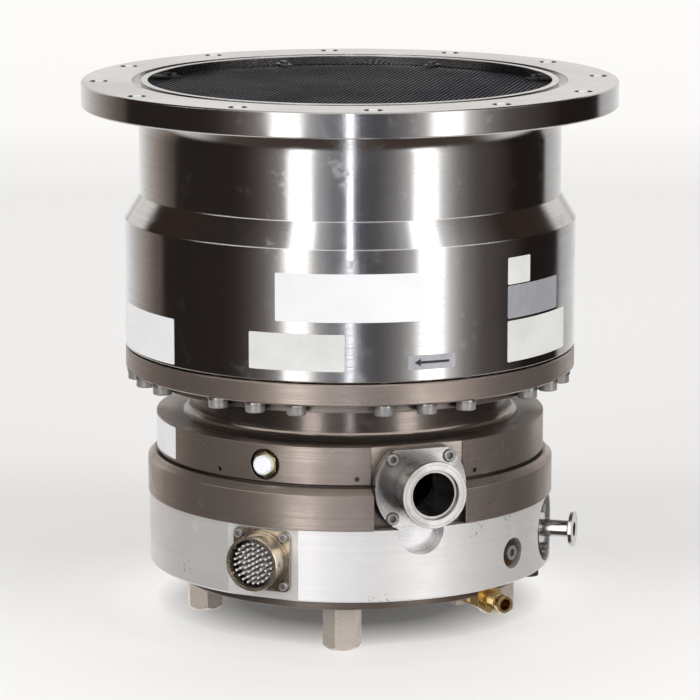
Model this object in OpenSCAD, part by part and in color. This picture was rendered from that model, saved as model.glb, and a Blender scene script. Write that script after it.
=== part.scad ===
// Turbomolecular vacuum pump with a magnetically levitated rotor.
// Millimetres, +Z up along the rotor axis, origin on the floor under the axis.
// Azimuth 0 is +X; the front of the pump faces -Y.

/* [Inlet flange] */
// Height of the sealing face above the floor
overall_h = 458; // [456:1:464]
// Outside diameter of the inlet flange
inlet_flange_d = 450; // [446:1:464]
// Thickness of the inlet flange
inlet_flange_t = 21; // [16:1:26]
// Distance of the inlet bolt circle from the flange's edge
inlet_bolt_edge = 15; // [12:0.5:18]
// Number of bolt holes in the inlet flange
inlet_bolt_n = 12; // [8:1:16]
// Diameter of each inlet bolt hole
inlet_bolt_d = 15; // [11:0.5:17]
// Azimuth of the first inlet bolt hole
inlet_bolt_az = 5; // [0:1:29]
// Width of the lip between the bore and the seal groove
seal_lip_w = 5.6; // [4:0.1:8]
// Width of the seal groove
seal_groove_w = 7.5; // [5:0.5:9]
// Depth of the seal groove
seal_groove_depth = 5; // [3:0.5:6]

/* [Casing] */
// Wall of the neck under the inlet flange
neck_wall = 7.9; // [6:0.1:9]
// Wall of the wide body of the casing
body_wall = 16.5; // [15:0.1:18]
// Height where the cone between body and neck starts
cone_low_z = 343.4; // [338:0.1:348]
// Height of the cone between body and neck
cone_h = 20.6; // [14:0.1:28]
// Wall of the spacer rings in the neck
neck_spacer_wall = 7.9; // [6:0.1:9]
// Wall of the spacer rings in the body
body_spacer_wall = 12; // [11:0.1:13]
// Distance from the cone's lower edge up to the inner shoulder
inner_shoulder_rise = 1.6; // [0:0.1:4]
// Open gap seen between the casing and the housing flange
casing_gap = 1.2; // [0.8:0.1:2]

/* [Inlet screen] */
// Height of the lip that carries the screen
screen_lip_t = 8; // [6:0.5:10]
// Depth of the lip's top below the sealing face
screen_lip_depth = 12; // [10:0.5:14]
// Thickness of the screen's ring
screen_ring_t = 3; // [2:0.5:4]
// Width of the screen's ring
screen_ring_w = 7; // [6:0.5:9]
// Distance between the screen's wires
wire_pitch = 4; // [4:0.1:8]
// Thickness of one screen wire
wire_t = 0.6; // [0.4:0.1:1]
// Azimuth of the first set of wires
wire_az = 77; // [0:1:90]
// Number of screws in the screen frame
screen_screw_n = 8; // [6:1:12]
// Azimuth of the first screen screw
screen_screw_az = 20; // [0:1:44]

/* [Blade stages] */
// Number of rotor blade stages
stage_n = 8; // [7:1:8]
// Number of tall stages at the top
tall_stage_n = 3; // [2:1:3]
// Diameter over the rotor blade tips
rotor_tip_d = 320; // [316:1:321]
// Height of a tall rotor stage
tall_rotor_h = 17; // [14:0.5:17]
// Height of a tall stator stage
tall_stator_h = 12; // [10:0.5:12]
// Height of a short rotor stage
short_rotor_h = 10; // [8:0.5:10]
// Height of a short stator stage
short_stator_h = 8; // [7:0.5:8]
// Axial gap between rotor and stator blades
stage_gap = 1.7; // [1.4:0.1:1.8]
// Radial gap at the blade tips and at the hub
tip_gap = 1.5; // [1.2:0.1:2]
// Blades in a tall stage
tall_blade_n = 24; // [18:2:28]
// Blades in a short stage
short_blade_n = 30; // [24:2:34]
// Angle of the tall blades to the plane of rotation
tall_blade_angle = 40; // [36:1:48]
// Angle of the short blades to the plane of rotation
short_blade_angle = 28; // [26:1:36]
// Thickness of a tall blade
tall_blade_t = 2.4; // [1.8:0.1:3]
// Thickness of a short blade
short_blade_t = 1.8; // [1.4:0.1:2.2]
// Thickness of the stator rings' rims
stator_rim_t = 3; // [2:0.5:4]
// Width of the saw cut that splits each stator ring
stator_split = 0.6; // [0.4:0.1:1]

/* [Rotor] */
// Diameter of the rotor hub at the tall stages
hub_d = 196; // [192:1:198]
// Diameter of the drag drum and of the hub at the short stages
drum_d = 216; // [212:1:217]
// Wall of the rotor bell at the tall stages
bell_wall = 10; // [8:0.5:11]
// Thickness of the web that the shaft bolts to
web_t = 20; // [16:1:24]
// Depth of the web's face below the top of the hub
web_recess = 21; // [16:1:24]
// Diameter of the recess that holds the rotor bolts
web_recess_d = 120; // [116:1:126]
// Diameter of the shaft in the touchdown bearings
shaft_d = 34.8; // [34.8:0.2:36]
// Diameter of the shaft's flange
shaft_flange_d = 104; // [100:1:110]
// Thickness of the shaft's flange
shaft_flange_t = 12; // [10:0.5:14]
// Bolt circle of the rotor bolts
rotor_bolt_circle = 76; // [72:1:84]
// Number of rotor bolts
rotor_bolt_n = 8; // [6:1:10]

/* [Drag stage] */
// Number of helical grooves
groove_n = 7; // [5:1:9]
// Depth of the helical grooves
groove_depth = 7; // [5:0.5:8]
// Angle that one groove turns through
groove_turn = 95; // [70:5:110]
// Share of the circle that is groove rather than land
groove_share = 0.72; // [0.6:0.02:0.8]
// Running gap between the drum and the lands
drag_gap = 1; // [0.8:0.1:1.4]
// Wall of the grooved sleeve outside the lands
sleeve_wall = 15; // [13:0.5:15.5]
// Height of the lower end of drum and sleeve
drum_low_z = 150; // [146:1:156]

/* [Motor column] */
// Gap between the motor column and the spinning bell
column_gap = 8; // [6:0.5:12]
// Wall of the motor column
column_wall = 12; // [9:0.5:13]
// Gap between the shaft flange and the column
column_head_gap = 8; // [6:0.5:10]
// Length of each radial magnetic bearing
magnet_len = 36; // [32:1:38]
// Length of the motor's core
motor_len = 66; // [60:1:68]
// Air gap between the shaft's sleeves and the cores
air_gap = 1; // [0.8:0.1:1.5]
// Diameter of the sleeves on the shaft
sleeve_d = 51; // [48:0.5:54]
// Diameter of the thrust disc
thrust_disc_d = 116; // [108:1:122]
// Thickness of the thrust disc
thrust_disc_t = 10; // [8:0.5:11]

/* [Housing] */
// Height of the underside of the housing flange
flange_low_z = 216.2; // [214:0.1:219]
// Thickness of the housing flange
flange_t = 18; // [16:0.5:20]
// Diameter of the step under the housing flange
flange_step_d = 341.4; // [336:0.2:342]
// Height of the step under the housing flange
flange_step_h = 9; // [7:0.5:11]
// Wall of the waist outside the grooved sleeve
waist_wall = 11.9; // [8:0.1:14]
// Radius at the foot of the waist
waist_fillet = 7; // [4:0.5:8]
// Diameter of the upper ring
upper_ring_d = 328.6; // [326:0.2:332]
// Height of the upper ring's top
upper_ring_top_z = 177; // [176.5:0.1:178]
// Diameter of the lower ring
lower_ring_d = 344; // [343:0.5:347]
// Height of the lower ring's upper edge
lower_ring_top_z = 138.2; // [136:0.1:140]
// Chamfer of the lower ring's upper edge
lower_ring_chamfer = 5.5; // [3:0.5:6]
// Height of the joint between housing and base ring
joint_z = 109.5; // [108:0.1:111]
// Distance of the casing bolts from the flange's edge
casing_bolt_edge = 9; // [8:0.5:10]
// Groups of three casing bolts round the flange
casing_bolt_groups = 8; // [6:1:8]
// Azimuth of the first group's middle bolt
casing_bolt_az = 20; // [0:1:44]

/* [Base] */
// Diameter of the aluminium base ring
base_d = 342; // [341:0.5:345]
// Height of the base ring's underside
base_low_z = 49.5; // [46:0.5:54]
// Thickness of the bottom cover, which the feet stand under
cover_t = 12; // [10:0.5:13]
// Thickness of the base ring's floor
base_floor_t = 12; // [11:0.5:14]
// Wall of the base ring
base_wall = 21; // [19:0.5:22]
// Width across flats of the hexagonal feet
foot_af = 28; // [24:1:30]
// Circle that the feet stand on
foot_circle = 250; // [246:1:256]
// Azimuth of the front foot
foot_az = -93; // [-100:1:-86]
// Turn of the feet's flats
foot_turn = 12; // [-30:1:30]

/* [Exhaust port] */
// Azimuth of the exhaust port
exhaust_az = -70; // [-72:1:-68]
// Height of the exhaust port's axis
exhaust_z = 143.3; // [142:0.1:144.5]
// Length of the exhaust port from its pad to its face
exhaust_len = 41.8; // [36:0.2:54]
// Depth of the milled pad below the upper ring
exhaust_pad_depth = 5.9; // [4:0.1:6.5]
// Width of the milled pad
exhaust_pad_w = 80; // [80:1:84]
// Diameter of the port's mounting plate
exhaust_plate_d = 79; // [77:0.5:80]
// Height between the plate's two flat sides
exhaust_plate_h = 64; // [62:1:66]
// Thickness of the port's mounting plate
exhaust_plate_t = 10; // [8:0.5:12]
// Bore of the exhaust port
exhaust_bore_d = 36; // [34:0.5:38]
// Outside diameter of the exhaust tube
exhaust_tube_d = 45; // [44:0.5:46]
// Spacing of the exhaust port's screws
exhaust_screw_pitch = 49.2; // [48:0.2:50]

/* [Purge port] */
// Azimuth of the purge port
purge_az = -13.5; // [-16:0.5:-11]
// Height of the purge port's axis
purge_z = 81; // [80:0.5:82]
// Length of the purge port from its seat to its face
purge_len = 33.7; // [28:0.1:40]
// Depth of the purge port's pocket in the base ring
purge_seat_depth = 10; // [7:0.5:11]

/* [Connector] */
// Azimuth of the cable connector
connector_az = -115; // [-117:1:-113]
// Height of the connector's axis
connector_z = 82; // [81:0.5:83]
// Depth of the connector's flat pad in the base ring
connector_pad_depth = 3; // [2:0.5:5]
// Length of the connector from its pad to its rim
connector_len = 22; // [18:0.5:26]
// Outside diameter of the connector's shell
connector_shell_d = 44.5; // [43:0.5:46]
// Side of the connector's square plate
connector_plate_w = 51; // [50:0.5:52]
// Spacing of the connector's screws
connector_screw_pitch = 40.6; // [40:0.2:41]

/* [Water cooling] */
// Distance of a hose nozzle's tip along X from the rotor axis
nozzle_x = 128.8; // [124:0.2:132]
// Distance of a hose nozzle's tip along Y from the rotor axis
nozzle_y = -116; // [-120:1:-112]
// Height of the hose nozzle's axis
nozzle_z = 33.5; // [32:0.5:35]
// Direction that the front nozzle points in
nozzle_az = -60; // [-64:1:-56]
// Outside diameter of a hose nozzle
nozzle_d = 13.5; // [12:0.5:15]

/* [Hidden] */

$fn = 96;

// Clearance between pieces that seat in or on each other
seat_gap = 0.1;
// Overshoot of a cutting body
cut = 1;
// Small chamfer on turned edges
edge = 1;

// Colours
steel_c = [0.75, 0.75, 0.77];
nickel_c = [0.47, 0.42, 0.37];
aluminium_c = [0.82, 0.82, 0.84];
brass_c = [0.80, 0.60, 0.25];
black_c = [0.08, 0.08, 0.09];
copper_c = [0.72, 0.40, 0.22];
screw_c = [0.55, 0.56, 0.57];
core_c = [0.35, 0.37, 0.42];

// Casing
inlet_r = rotor_tip_d / 2 + tip_gap + neck_spacer_wall;
body_bore_r = rotor_tip_d / 2 + tip_gap + body_spacer_wall;
neck_r = inlet_r + neck_wall;
body_r = body_bore_r + body_wall;
inlet_flange_r = inlet_flange_d / 2;
inlet_bolt_circle_r = inlet_flange_r - inlet_bolt_edge;
seal_groove_r = inlet_r + seal_lip_w;
flange_top_z = flange_low_z + flange_t;
casing_low_z = flange_top_z + casing_gap;
inlet_flange_low_z = overall_h - inlet_flange_t;
shoulder_z = cone_low_z + inner_shoulder_rise;
lip_top_z = overall_h - screen_lip_depth;
lip_low_z = lip_top_z - screen_lip_t;
lip_r = inlet_r - screen_ring_w - 1.4;

// Casing bolts: M10 cap screws with a low head
casing_bolt_circle_r = body_r - casing_bolt_edge;
casing_bolt_shank_r = 4.9;
casing_bolt_head_r = 8;
casing_bolt_head_h = 7.2;
casing_bolt_washer_r = 8.8;
casing_bolt_washer_t = 1.8;
casing_bolt_depth = 18;
casing_bolt_clear = 0.6;
casing_bolt_step = 11.25;

// Screen
screen_ring_top_z = lip_top_z + screen_ring_t;
screen_ring_r = inlet_r - 0.4;
screen_ring_in_r = screen_ring_r - screen_ring_w;
screen_screw_r = 1.25;
screen_screw_head_r = 2.5;
screen_screw_head_h = 2.5;
screen_screw_circle_r = screen_ring_r - screen_screw_head_r - 0.1;
screen_clip_w = 9;
screen_clip_t = 1.6;
mesh_r = screen_screw_circle_r - screen_screw_r - 0.6;

// Blade stages
tip_r = rotor_tip_d / 2;
spacer_in_r = tip_r + tip_gap;
hub_r = hub_d / 2;
drum_r = drum_d / 2;
first_blade_z = lip_low_z - 3;
hub_top_z = first_blade_z + 1;
rim_w = 3;

function rotor_h(i) = i < tall_stage_n ? tall_rotor_h : short_rotor_h;
function stator_h(i) = i < tall_stage_n ? tall_stator_h : short_stator_h;
function rotor_top(i) = i == 0 ? first_blade_z : stator_low(i - 1) - stage_gap;
function rotor_low(i) = rotor_top(i) - rotor_h(i);
function stator_top(i) = rotor_low(i) - stage_gap;
function stator_low(i) = stator_top(i) - stator_h(i);
function stator_mid(i) = stator_top(i) - stator_h(i) / 2;
function rotor_hub_r(i) = i < tall_stage_n ? hub_r : drum_r;
function stator_hub_r(i) = i < tall_stage_n - 1 ? hub_r : drum_r;
function blade_n(i) = i < tall_stage_n ? tall_blade_n : short_blade_n;
function blade_angle(i) = i < tall_stage_n ? tall_blade_angle : short_blade_angle;
function blade_t(i) = i < tall_stage_n ? tall_blade_t : short_blade_t;

// Rotor bell
hub_step_z = rotor_low(tall_stage_n - 1);
bell_in_r = hub_r - bell_wall;
drum_in_r = drum_r - bell_wall;
web_top_z = hub_top_z - web_recess;
web_low_z = web_top_z - web_t;
shaft_r = shaft_d / 2;
spigot_r = 20;
rotor_bolt_r = 4;
rotor_bolt_head_r = 6.5;
rotor_bolt_head_h = 8;
fit_gap = 0.05;

// Motor column, from the top down
shaft_flange_low_z = web_low_z - shaft_flange_t;
column_top_z = shaft_flange_low_z - column_head_gap;
column_r = hub_r - bell_wall - column_gap;
column_bore_r = column_r - column_wall;
column_lid_t = 5;
column_flange_r = column_r + 20;
column_flange_t = 10;
bearing_w = 14;
bearing_bore_r = shaft_r + 0.1;
bearing_r = 31;
ball_r = 3.6;
ball_n = 12;
ball_gap = 0.05;
sensor_h = 6;
part_gap = 4;
winding_reach = 10;
upper_bearing_z = column_top_z - column_lid_t - bearing_w;
upper_sensor_z = upper_bearing_z - part_gap - sensor_h;
upper_magnet_z = upper_sensor_z - part_gap - magnet_len;
motor_z = upper_magnet_z - winding_reach - part_gap - motor_len;
lower_magnet_z = motor_z - winding_reach - part_gap - magnet_len;
lower_sensor_z = lower_magnet_z - part_gap - sensor_h;
lower_bearing_z = lower_sensor_z - part_gap - bearing_w;
axial_magnet_h = 20;
axial_gap = 1;
yoke_floor_t = 4;
upper_axial_z = lower_bearing_z - yoke_floor_t - axial_magnet_h;
thrust_top_z = upper_axial_z - axial_gap;
thrust_low_z = thrust_top_z - thrust_disc_t;
lower_axial_z = thrust_low_z - axial_gap - axial_magnet_h;
end_cap_t = 8;
end_cap_z = lower_axial_z - end_cap_t;
column_low_z = min(end_cap_z, joint_z - column_flange_t - cut);
sleeve_r = sleeve_d / 2;
core_in_r = sleeve_r + air_gap;
core_r = column_bore_r - seat_gap;
core_back = 16;
pole_n = 8;
tooth_n = 12;
tail_r = 12;
column_screw_circle_r = column_flange_r - 9;
column_screw_n = 8;

// Drag stage
groove_slices = 16;
land_r = drum_r + drag_gap;
sleeve_r_out = land_r + sleeve_wall;
sleeve_flange_t = 5;
sleeve_flange_top_z = casing_low_z + sleeve_flange_t;

// Housing
housing_r = body_r;
casing_bolt_hole_r = casing_bolt_shank_r + casing_bolt_clear;
flange_step_r = flange_step_d / 2;
waist_r = sleeve_r_out + seat_gap + waist_wall;
upper_ring_r = upper_ring_d / 2;
lower_ring_r = lower_ring_d / 2;
spigot_h = 4;
housing_spigot_r = body_bore_r - seat_gap;
housing_spigot_in_r = housing_spigot_r - 5.4;
housing_floor_t = 12;
plenum_r = upper_ring_r - 14.3;
plenum_top_z = upper_ring_top_z - 9;
groove_low_z = lower_ring_top_z + lower_ring_chamfer;
groove_h = 1.5;
groove_r = upper_ring_r - 2.3;
seat_w = 2.6;

// Base ring
base_r = base_d / 2;
base_cavity_r = base_r - base_wall;
base_hole_r = column_r;
base_screw_n = 12;
base_screw_circle_r = base_cavity_r + 4.5;
base_screw_r = 3;
base_screw_head_r = 5;
base_screw_head_h = 6;
base_screw_az = 24;
base_screw_sink = 2;
cover_r = base_screw_circle_r - base_screw_head_r - 1;
cover_low_z = base_low_z - cover_t;
cover_screw_n = 4;
cover_screw_turn = 25;
cover_screw_circle_r = foot_circle / 2;
cover_screw_r = 3;
cover_screw_head_r = 5;
cover_screw_head_h = 6;
cover_screw_sink = 1;
cover_screw_depth = 8;
foot_bore_r = 4;
foot_bore_depth = 16;
foot_stud_r = foot_bore_r + 1;
foot_stud_len = 8;
foot_chamfer = 4;
foot_names_step = 90;

// Ports and plugs
exhaust_pad_r = upper_ring_r - exhaust_pad_depth;
exhaust_flange_r = 27.5;
exhaust_recess_r = 20.6;
exhaust_recess_depth = 3;
kf_rim = 3;
kf_slope = 15;
exhaust_screw_r = 3;
exhaust_screw_head_r = 5;
exhaust_screw_head_h = 6;
purge_seat_r = base_r - purge_seat_depth;
purge_flange_r = 15;
purge_tube_r = 7.25;
purge_bore_r = 5;
purge_recess_r = 6.1;
purge_recess_depth = 3;
purge_plate_t = 6;
purge_pocket_r = 28;
purge_screw_reach = 20.5;
purge_screw_tilt = 25;
purge_ear_r = 6.5;
purge_screw_r = 2;
purge_screw_head_r = 3.5;
purge_screw_head_h = 4;
connector_pad_r = base_r - connector_pad_depth;
connector_wall = 2;
connector_plate_t = 3;
connector_insert_depth = 12;
connector_pin_r = 0.9;
connector_pin_reach = 9;
connector_pin_rings = 4;
connector_pin_pitch = 4.1;
connector_face_r = connector_pin_rings * connector_pin_pitch + 1.6;
connector_face_h = 6;
connector_corner_r = 6;
connector_boss_r = connector_shell_d / 2 + 1.9;
connector_boss_h = 2;
connector_screw_r = 2;
connector_screw_head_r = 3.8;
connector_screw_head_h = 2.8;
connector_hole_r = 19;
scallop_r = 19.5;
scallop_z = joint_z - 2.5;
vent_az = -115;
vent_z = 160.3;
vent_seat_r = upper_ring_r - 5.3;
vent_pocket_r = 13;
vent_hex_af = 19;
vent_hex_t = 5;
vent_cap_r = 8;
vent_cap_len = 7;
service_az = -37.7;
service_z = 75;
service_seat_r = base_r - 6;
service_bore_depth = 6.5;
service_pocket_r = 13;
service_plug_r = 7.5;
service_flange_r = 11.5;
service_flange_t = 2;
service_head_r = 6.3;
service_head_h = 5;
service_socket_af = 6;
grub_azimuths = [-130.6, -88, -51.5];
grub_z = 151;
grub_r = 2;
grub_depth = 6;
grub_sink = 0.6;
drain_az = -18;
drain_circle_r = base_r - 13;
drain_depth = 5;
drain_r = 9;
drain_h = 7;
drain_hole_r = 5;
nozzle_len = 22;
nozzle_bore_r = 5;
nozzle_hex_af = 22;
nozzle_hex_len = 16;
nozzle_body_r = 9.5;
nozzle_body_len = 15;
nozzle_washer_r = 11;
nozzle_washer_t = 5;
water_block_len = 20;
water_block_w = 24;
water_slot_gap = 2;
water_back = nozzle_len + nozzle_hex_len + nozzle_body_len + nozzle_washer_t;
water_block_low_z = nozzle_z - 12;

// Length of a cut that passes right through its piece
through = 100;

// Puts a child made along +Z on the outside of the pump: +Z points outward
module on_side(az, z, r = 0) {
    rotate([0, 0, az])
        translate([r, 0, z])
            rotate([0, 90, 0])
                children();
}

// Copies a child evenly round the axis
module around(n, first = 0) {
    for (i = [0 : n - 1])
        rotate([0, 0, first + i * 360 / n])
            children();
}

// Ring between two radii
module ring(r_in, r_out, z_low, z_top) {
    translate([0, 0, z_low])
        difference() {
            cylinder(r = r_out, h = z_top - z_low);
            translate([0, 0, -cut])
                cylinder(r = r_in, h = z_top - z_low + 2 * cut);
        }
}

// Hexagonal prism given by its width across flats
module hex_bar(af, h) {
    cylinder(r = af / sqrt(3), h = h, $fn = 6);
}

// Cap screw with its head above z = 0 and its shank below; the head's edge is rounded
module cap_screw(shank_r, shank_len, head_r, head_h) {
    round_r = head_r * 0.15;
    difference() {
        rotate_extrude()
            union() {
                translate([0, -shank_len])
                    square([shank_r, shank_len + cut]);
                square([head_r - round_r, head_h]);
                square([head_r, head_h - round_r]);
                translate([head_r - round_r, head_h - round_r])
                    circle(r = round_r);
            }
        translate([0, 0, head_h / 2])
            hex_bar(shank_r * 1.7, head_h);
    }
}

// Square plate with rounded corners
module rounded_plate(w, corner_r, t) {
    flat = w - 2 * corner_r;
    linear_extrude(t)
        union() {
            square([w, flat], center = true);
            square([flat, w], center = true);
            for (x = [-1, 1])
                for (y = [-1, 1])
                    translate([x * flat / 2, y * flat / 2])
                        circle(r = corner_r);
        }
}

// Small-flange vacuum coupling end, face at z = 0, tube running down
module kf_end(flange_r, tube_r, tube_len) {
    rotate_extrude()
        polygon([
            [0, -tube_len],
            [tube_r, -tube_len],
            [tube_r, -kf_rim - (flange_r - tube_r) * tan(kf_slope)],
            [flange_r, -kf_rim],
            [flange_r, 0],
            [0, 0]
        ]);
}

// Outline of the casing wall
module casing_profile() {
    flange_r = inlet_flange_r;
    polygon([
        [body_bore_r, casing_low_z],
        [body_r - edge, casing_low_z],
        [body_r, casing_low_z + edge],
        [body_r, cone_low_z],
        [neck_r, cone_low_z + cone_h],
        [neck_r, inlet_flange_low_z - edge],
        [neck_r + edge, inlet_flange_low_z],
        [flange_r - edge, inlet_flange_low_z],
        [flange_r, inlet_flange_low_z + edge],
        [flange_r, overall_h - edge],
        [flange_r - edge, overall_h],
        [inlet_r, overall_h],
        [inlet_r, lip_top_z],
        [lip_r, lip_top_z],
        [lip_r, lip_low_z],
        [inlet_r, lip_low_z],
        [inlet_r, shoulder_z],
        [body_bore_r, shoulder_z]
    ]);
}

// Places a child at each casing bolt: three bolts, then one place left free
module at_casing_bolts() {
    group_step = 360 / casing_bolt_groups;
    for (g = [0 : casing_bolt_groups - 1])
        for (k = [-1 : 1])
            rotate([0, 0, casing_bolt_az + g * group_step + k * casing_bolt_step])
                translate([casing_bolt_circle_r, 0, 0])
                    children();
}

module casing() {
    bolt_hole_len = casing_bolt_depth + 4;
    color(steel_c)
        difference() {
            rotate_extrude()
                casing_profile();
            around(inlet_bolt_n, inlet_bolt_az)
                translate([inlet_bolt_circle_r, 0, inlet_flange_low_z - cut])
                    cylinder(d = inlet_bolt_d, h = inlet_flange_t + 2 * cut);
            ring(
                seal_groove_r,
                seal_groove_r + seal_groove_w,
                overall_h - seal_groove_depth,
                overall_h + cut
            );
            at_casing_bolts()
                translate([0, 0, casing_low_z - cut])
                    cylinder(r = casing_bolt_shank_r + seat_gap, h = bolt_hole_len + cut);
            around(screen_screw_n, screen_screw_az)
                translate([screen_screw_circle_r, 0, lip_low_z - cut])
                    cylinder(r = screen_screw_r + seat_gap, h = screen_lip_t + 2 * cut);
        }
}

// Round seals: one between casing and housing, one behind the exhaust port
module vacuum_seals() {
    seal_r = 1.6;
    seal_z = casing_low_z + spigot_h / 2;
    color(black_c) {
        rotate_extrude()
            translate([housing_spigot_r - seal_r, seal_z])
                circle(r = seal_r - seat_gap, $fn = 24);
        on_side(exhaust_az, exhaust_z, exhaust_pad_r + seal_r)
            rotate_extrude()
                translate([exhaust_tube_d / 2 + seal_r, 0])
                    circle(r = seal_r - seat_gap, $fn = 24);
    }
}

// Ring that the wires rest on
module screen_frame() {
    color(black_c)
        difference() {
            ring(screen_ring_in_r, screen_ring_r, lip_top_z, screen_ring_top_z);
            around(screen_screw_n, screen_screw_az)
                translate([screen_screw_circle_r, 0, lip_top_z - cut])
                    cylinder(r = screen_screw_r + seat_gap, h = screen_ring_t + 2 * cut);
        }
}

// One set of parallel wires, cut to the round frame
module wire_layer(z) {
    count = floor((mesh_r - wire_t) / wire_pitch);
    for (i = [-count : count]) {
        half = sqrt(mesh_r * mesh_r - pow(abs(i) * wire_pitch + wire_t / 2, 2));
        translate([-half, i * wire_pitch - wire_t / 2, z])
            cube([2 * half, wire_t, wire_t]);
    }
}

module screen_mesh() {
    color(black_c) {
        rotate([0, 0, wire_az])
            wire_layer(screen_ring_top_z + wire_t + 2 * fit_gap);
        rotate([0, 0, wire_az + 90])
            wire_layer(screen_ring_top_z + fit_gap);
    }
}

// Screws of the screen, each with a clip that holds the wires down
module screen_screws() {
    clip_z = screen_ring_top_z + 2 * wire_t + 4 * fit_gap;
    shank = clip_z - lip_low_z - 2;
    color(screw_c)
        around(screen_screw_n, screen_screw_az) {
            translate([screen_screw_circle_r, 0, clip_z + screen_clip_t])
                cap_screw(screen_screw_r, shank, screen_screw_head_r, screen_screw_head_h);
            difference() {
                translate([
                    screen_screw_circle_r - screen_screw_head_r - 3,
                    -screen_clip_w / 2,
                    clip_z
                ])
                    cube([2 * screen_screw_head_r + 3, screen_clip_w, screen_clip_t]);
                translate([screen_screw_circle_r, 0, clip_z - cut])
                    cylinder(r = screen_screw_r + fit_gap, h = screen_clip_t + 2 * cut);
            }
        }
}

// One flat blade along +X: a parallelogram in side view
module blade(r_in, r_out, h, angle, t) {
    lean = h / tan(angle);
    half = t / sin(angle) / 2;
    reach = sqrt(r_out * r_out - pow(lean / 2 + half, 2));
    translate([r_in, 0, 0])
        rotate([90, 0, 90])
            linear_extrude(reach - r_in)
                polygon([
                    [-lean / 2 - half, 0],
                    [-lean / 2 + half, 0],
                    [lean / 2 + half, h],
                    [lean / 2 - half, h]
                ]);
}

// Section of the rotor's bell: web, hub and drag drum
module bell_profile() {
    polygon([
        [spigot_r + fit_gap, web_low_z],
        [bell_in_r, web_low_z],
        [bell_in_r, hub_step_z - bell_wall],
        [drum_in_r, hub_step_z - 2 * bell_wall],
        [drum_in_r, drum_low_z],
        [drum_r, drum_low_z],
        [drum_r, hub_step_z - stage_gap],
        [hub_r, hub_step_z],
        [hub_r, hub_top_z - 2 * edge],
        [hub_r - 2 * edge, hub_top_z],
        [web_recess_d / 2 + 8, hub_top_z],
        [web_recess_d / 2, web_top_z],
        [spigot_r + fit_gap, web_top_z]
    ]);
}

module rotor() {
    color(aluminium_c)
        difference() {
            union() {
                rotate_extrude()
                    bell_profile();
                for (i = [0 : stage_n - 1])
                    around(blade_n(i))
                        translate([0, 0, rotor_low(i)])
                            mirror([0, 1, 0])
                                blade(
                                    rotor_hub_r(i) - bell_wall / 2,
                                    tip_r,
                                    rotor_h(i),
                                    blade_angle(i),
                                    blade_t(i)
                                );
            }
            around(rotor_bolt_n)
                translate([rotor_bolt_circle / 2, 0, web_low_z - cut])
                    cylinder(r = rotor_bolt_r + seat_gap, h = web_t + 2 * cut);
        }
}

module rotor_shaft() {
    color(steel_c)
        difference() {
            rotate_extrude()
                polygon([
                    [0, thrust_low_z - 12],
                    [tail_r, thrust_low_z - 12],
                    [tail_r, thrust_top_z],
                    [shaft_r, thrust_top_z],
                    [shaft_r, shaft_flange_low_z],
                    [shaft_flange_d / 2, shaft_flange_low_z],
                    [shaft_flange_d / 2, web_low_z],
                    [spigot_r, web_low_z],
                    [spigot_r, web_top_z + 2],
                    [0, web_top_z + 2]
                ]);
            around(rotor_bolt_n)
                translate([rotor_bolt_circle / 2, 0, web_low_z - 10])
                    cylinder(r = rotor_bolt_r + seat_gap, h = 10 + cut);
        }
}

module rotor_bolts() {
    color(screw_c)
        around(rotor_bolt_n)
            translate([rotor_bolt_circle / 2, 0, web_top_z])
                cap_screw(rotor_bolt_r, web_t + 8, rotor_bolt_head_r, rotor_bolt_head_h);
}

module motor_magnet_sleeve() {
    color(core_c)
        ring(shaft_r + fit_gap, sleeve_r, motor_z, motor_z + motor_len);
}

module bearing_sleeves() {
    color(core_c)
        for (z = [upper_magnet_z, lower_magnet_z])
            ring(shaft_r + fit_gap, sleeve_r, z, z + magnet_len);
}

module thrust_disc() {
    color(steel_c)
        ring(tail_r + fit_gap, thrust_disc_d / 2, thrust_low_z, thrust_top_z);
}

module thrust_nut() {
    nut_r = 18;
    nut_t = 8;
    color(screw_c)
        difference() {
            ring(tail_r + fit_gap, nut_r, thrust_low_z - nut_t, thrust_low_z);
            around(4)
                translate([nut_r - 2, -2, thrust_low_z - nut_t - cut])
                    cube([4, 4, nut_t + 2 * cut]);
        }
}

// Space that the stack of spacers and stator rims fills
module stack_profile() {
    polygon([
        [spacer_in_r, sleeve_flange_top_z],
        [body_bore_r - seat_gap, sleeve_flange_top_z],
        [body_bore_r - seat_gap, shoulder_z],
        [inlet_r - seat_gap, shoulder_z],
        [inlet_r - seat_gap, lip_low_z],
        [spacer_in_r, lip_low_z]
    ]);
}

// Slice of the stack between two heights
module stack_slice(z_low, z_top) {
    rotate_extrude()
        intersection() {
            stack_profile();
            translate([0, z_low])
                square([2 * body_r, z_top - z_low]);
        }
}

// One stator stage: two half rings of blades that lean against the rotor's
module stator_blades(i) {
    n = blade_n(i);
    in_r = stator_hub_r(i) + tip_gap;
    color(aluminium_c)
        difference() {
            union() {
                stack_slice(stator_mid(i) - stator_rim_t / 2, stator_mid(i) + stator_rim_t / 2);
                for (r = [in_r, spacer_in_r - rim_w])
                    ring(
                        r,
                        r + rim_w + fit_gap,
                        stator_mid(i) - stator_rim_t / 2,
                        stator_mid(i) + stator_rim_t / 2
                    );
                around(n, 180 / n)
                    translate([0, 0, stator_low(i)])
                        blade(
                            in_r + rim_w / 2,
                            spacer_in_r - 3 * seat_gap,
                            stator_h(i),
                            blade_angle(i),
                            blade_t(i)
                        );
            }
            translate([-body_r, -stator_split / 2, stator_low(i) - cut])
                cube([2 * body_r, stator_split, stator_h(i) + 2 * cut]);
        }
}

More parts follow.
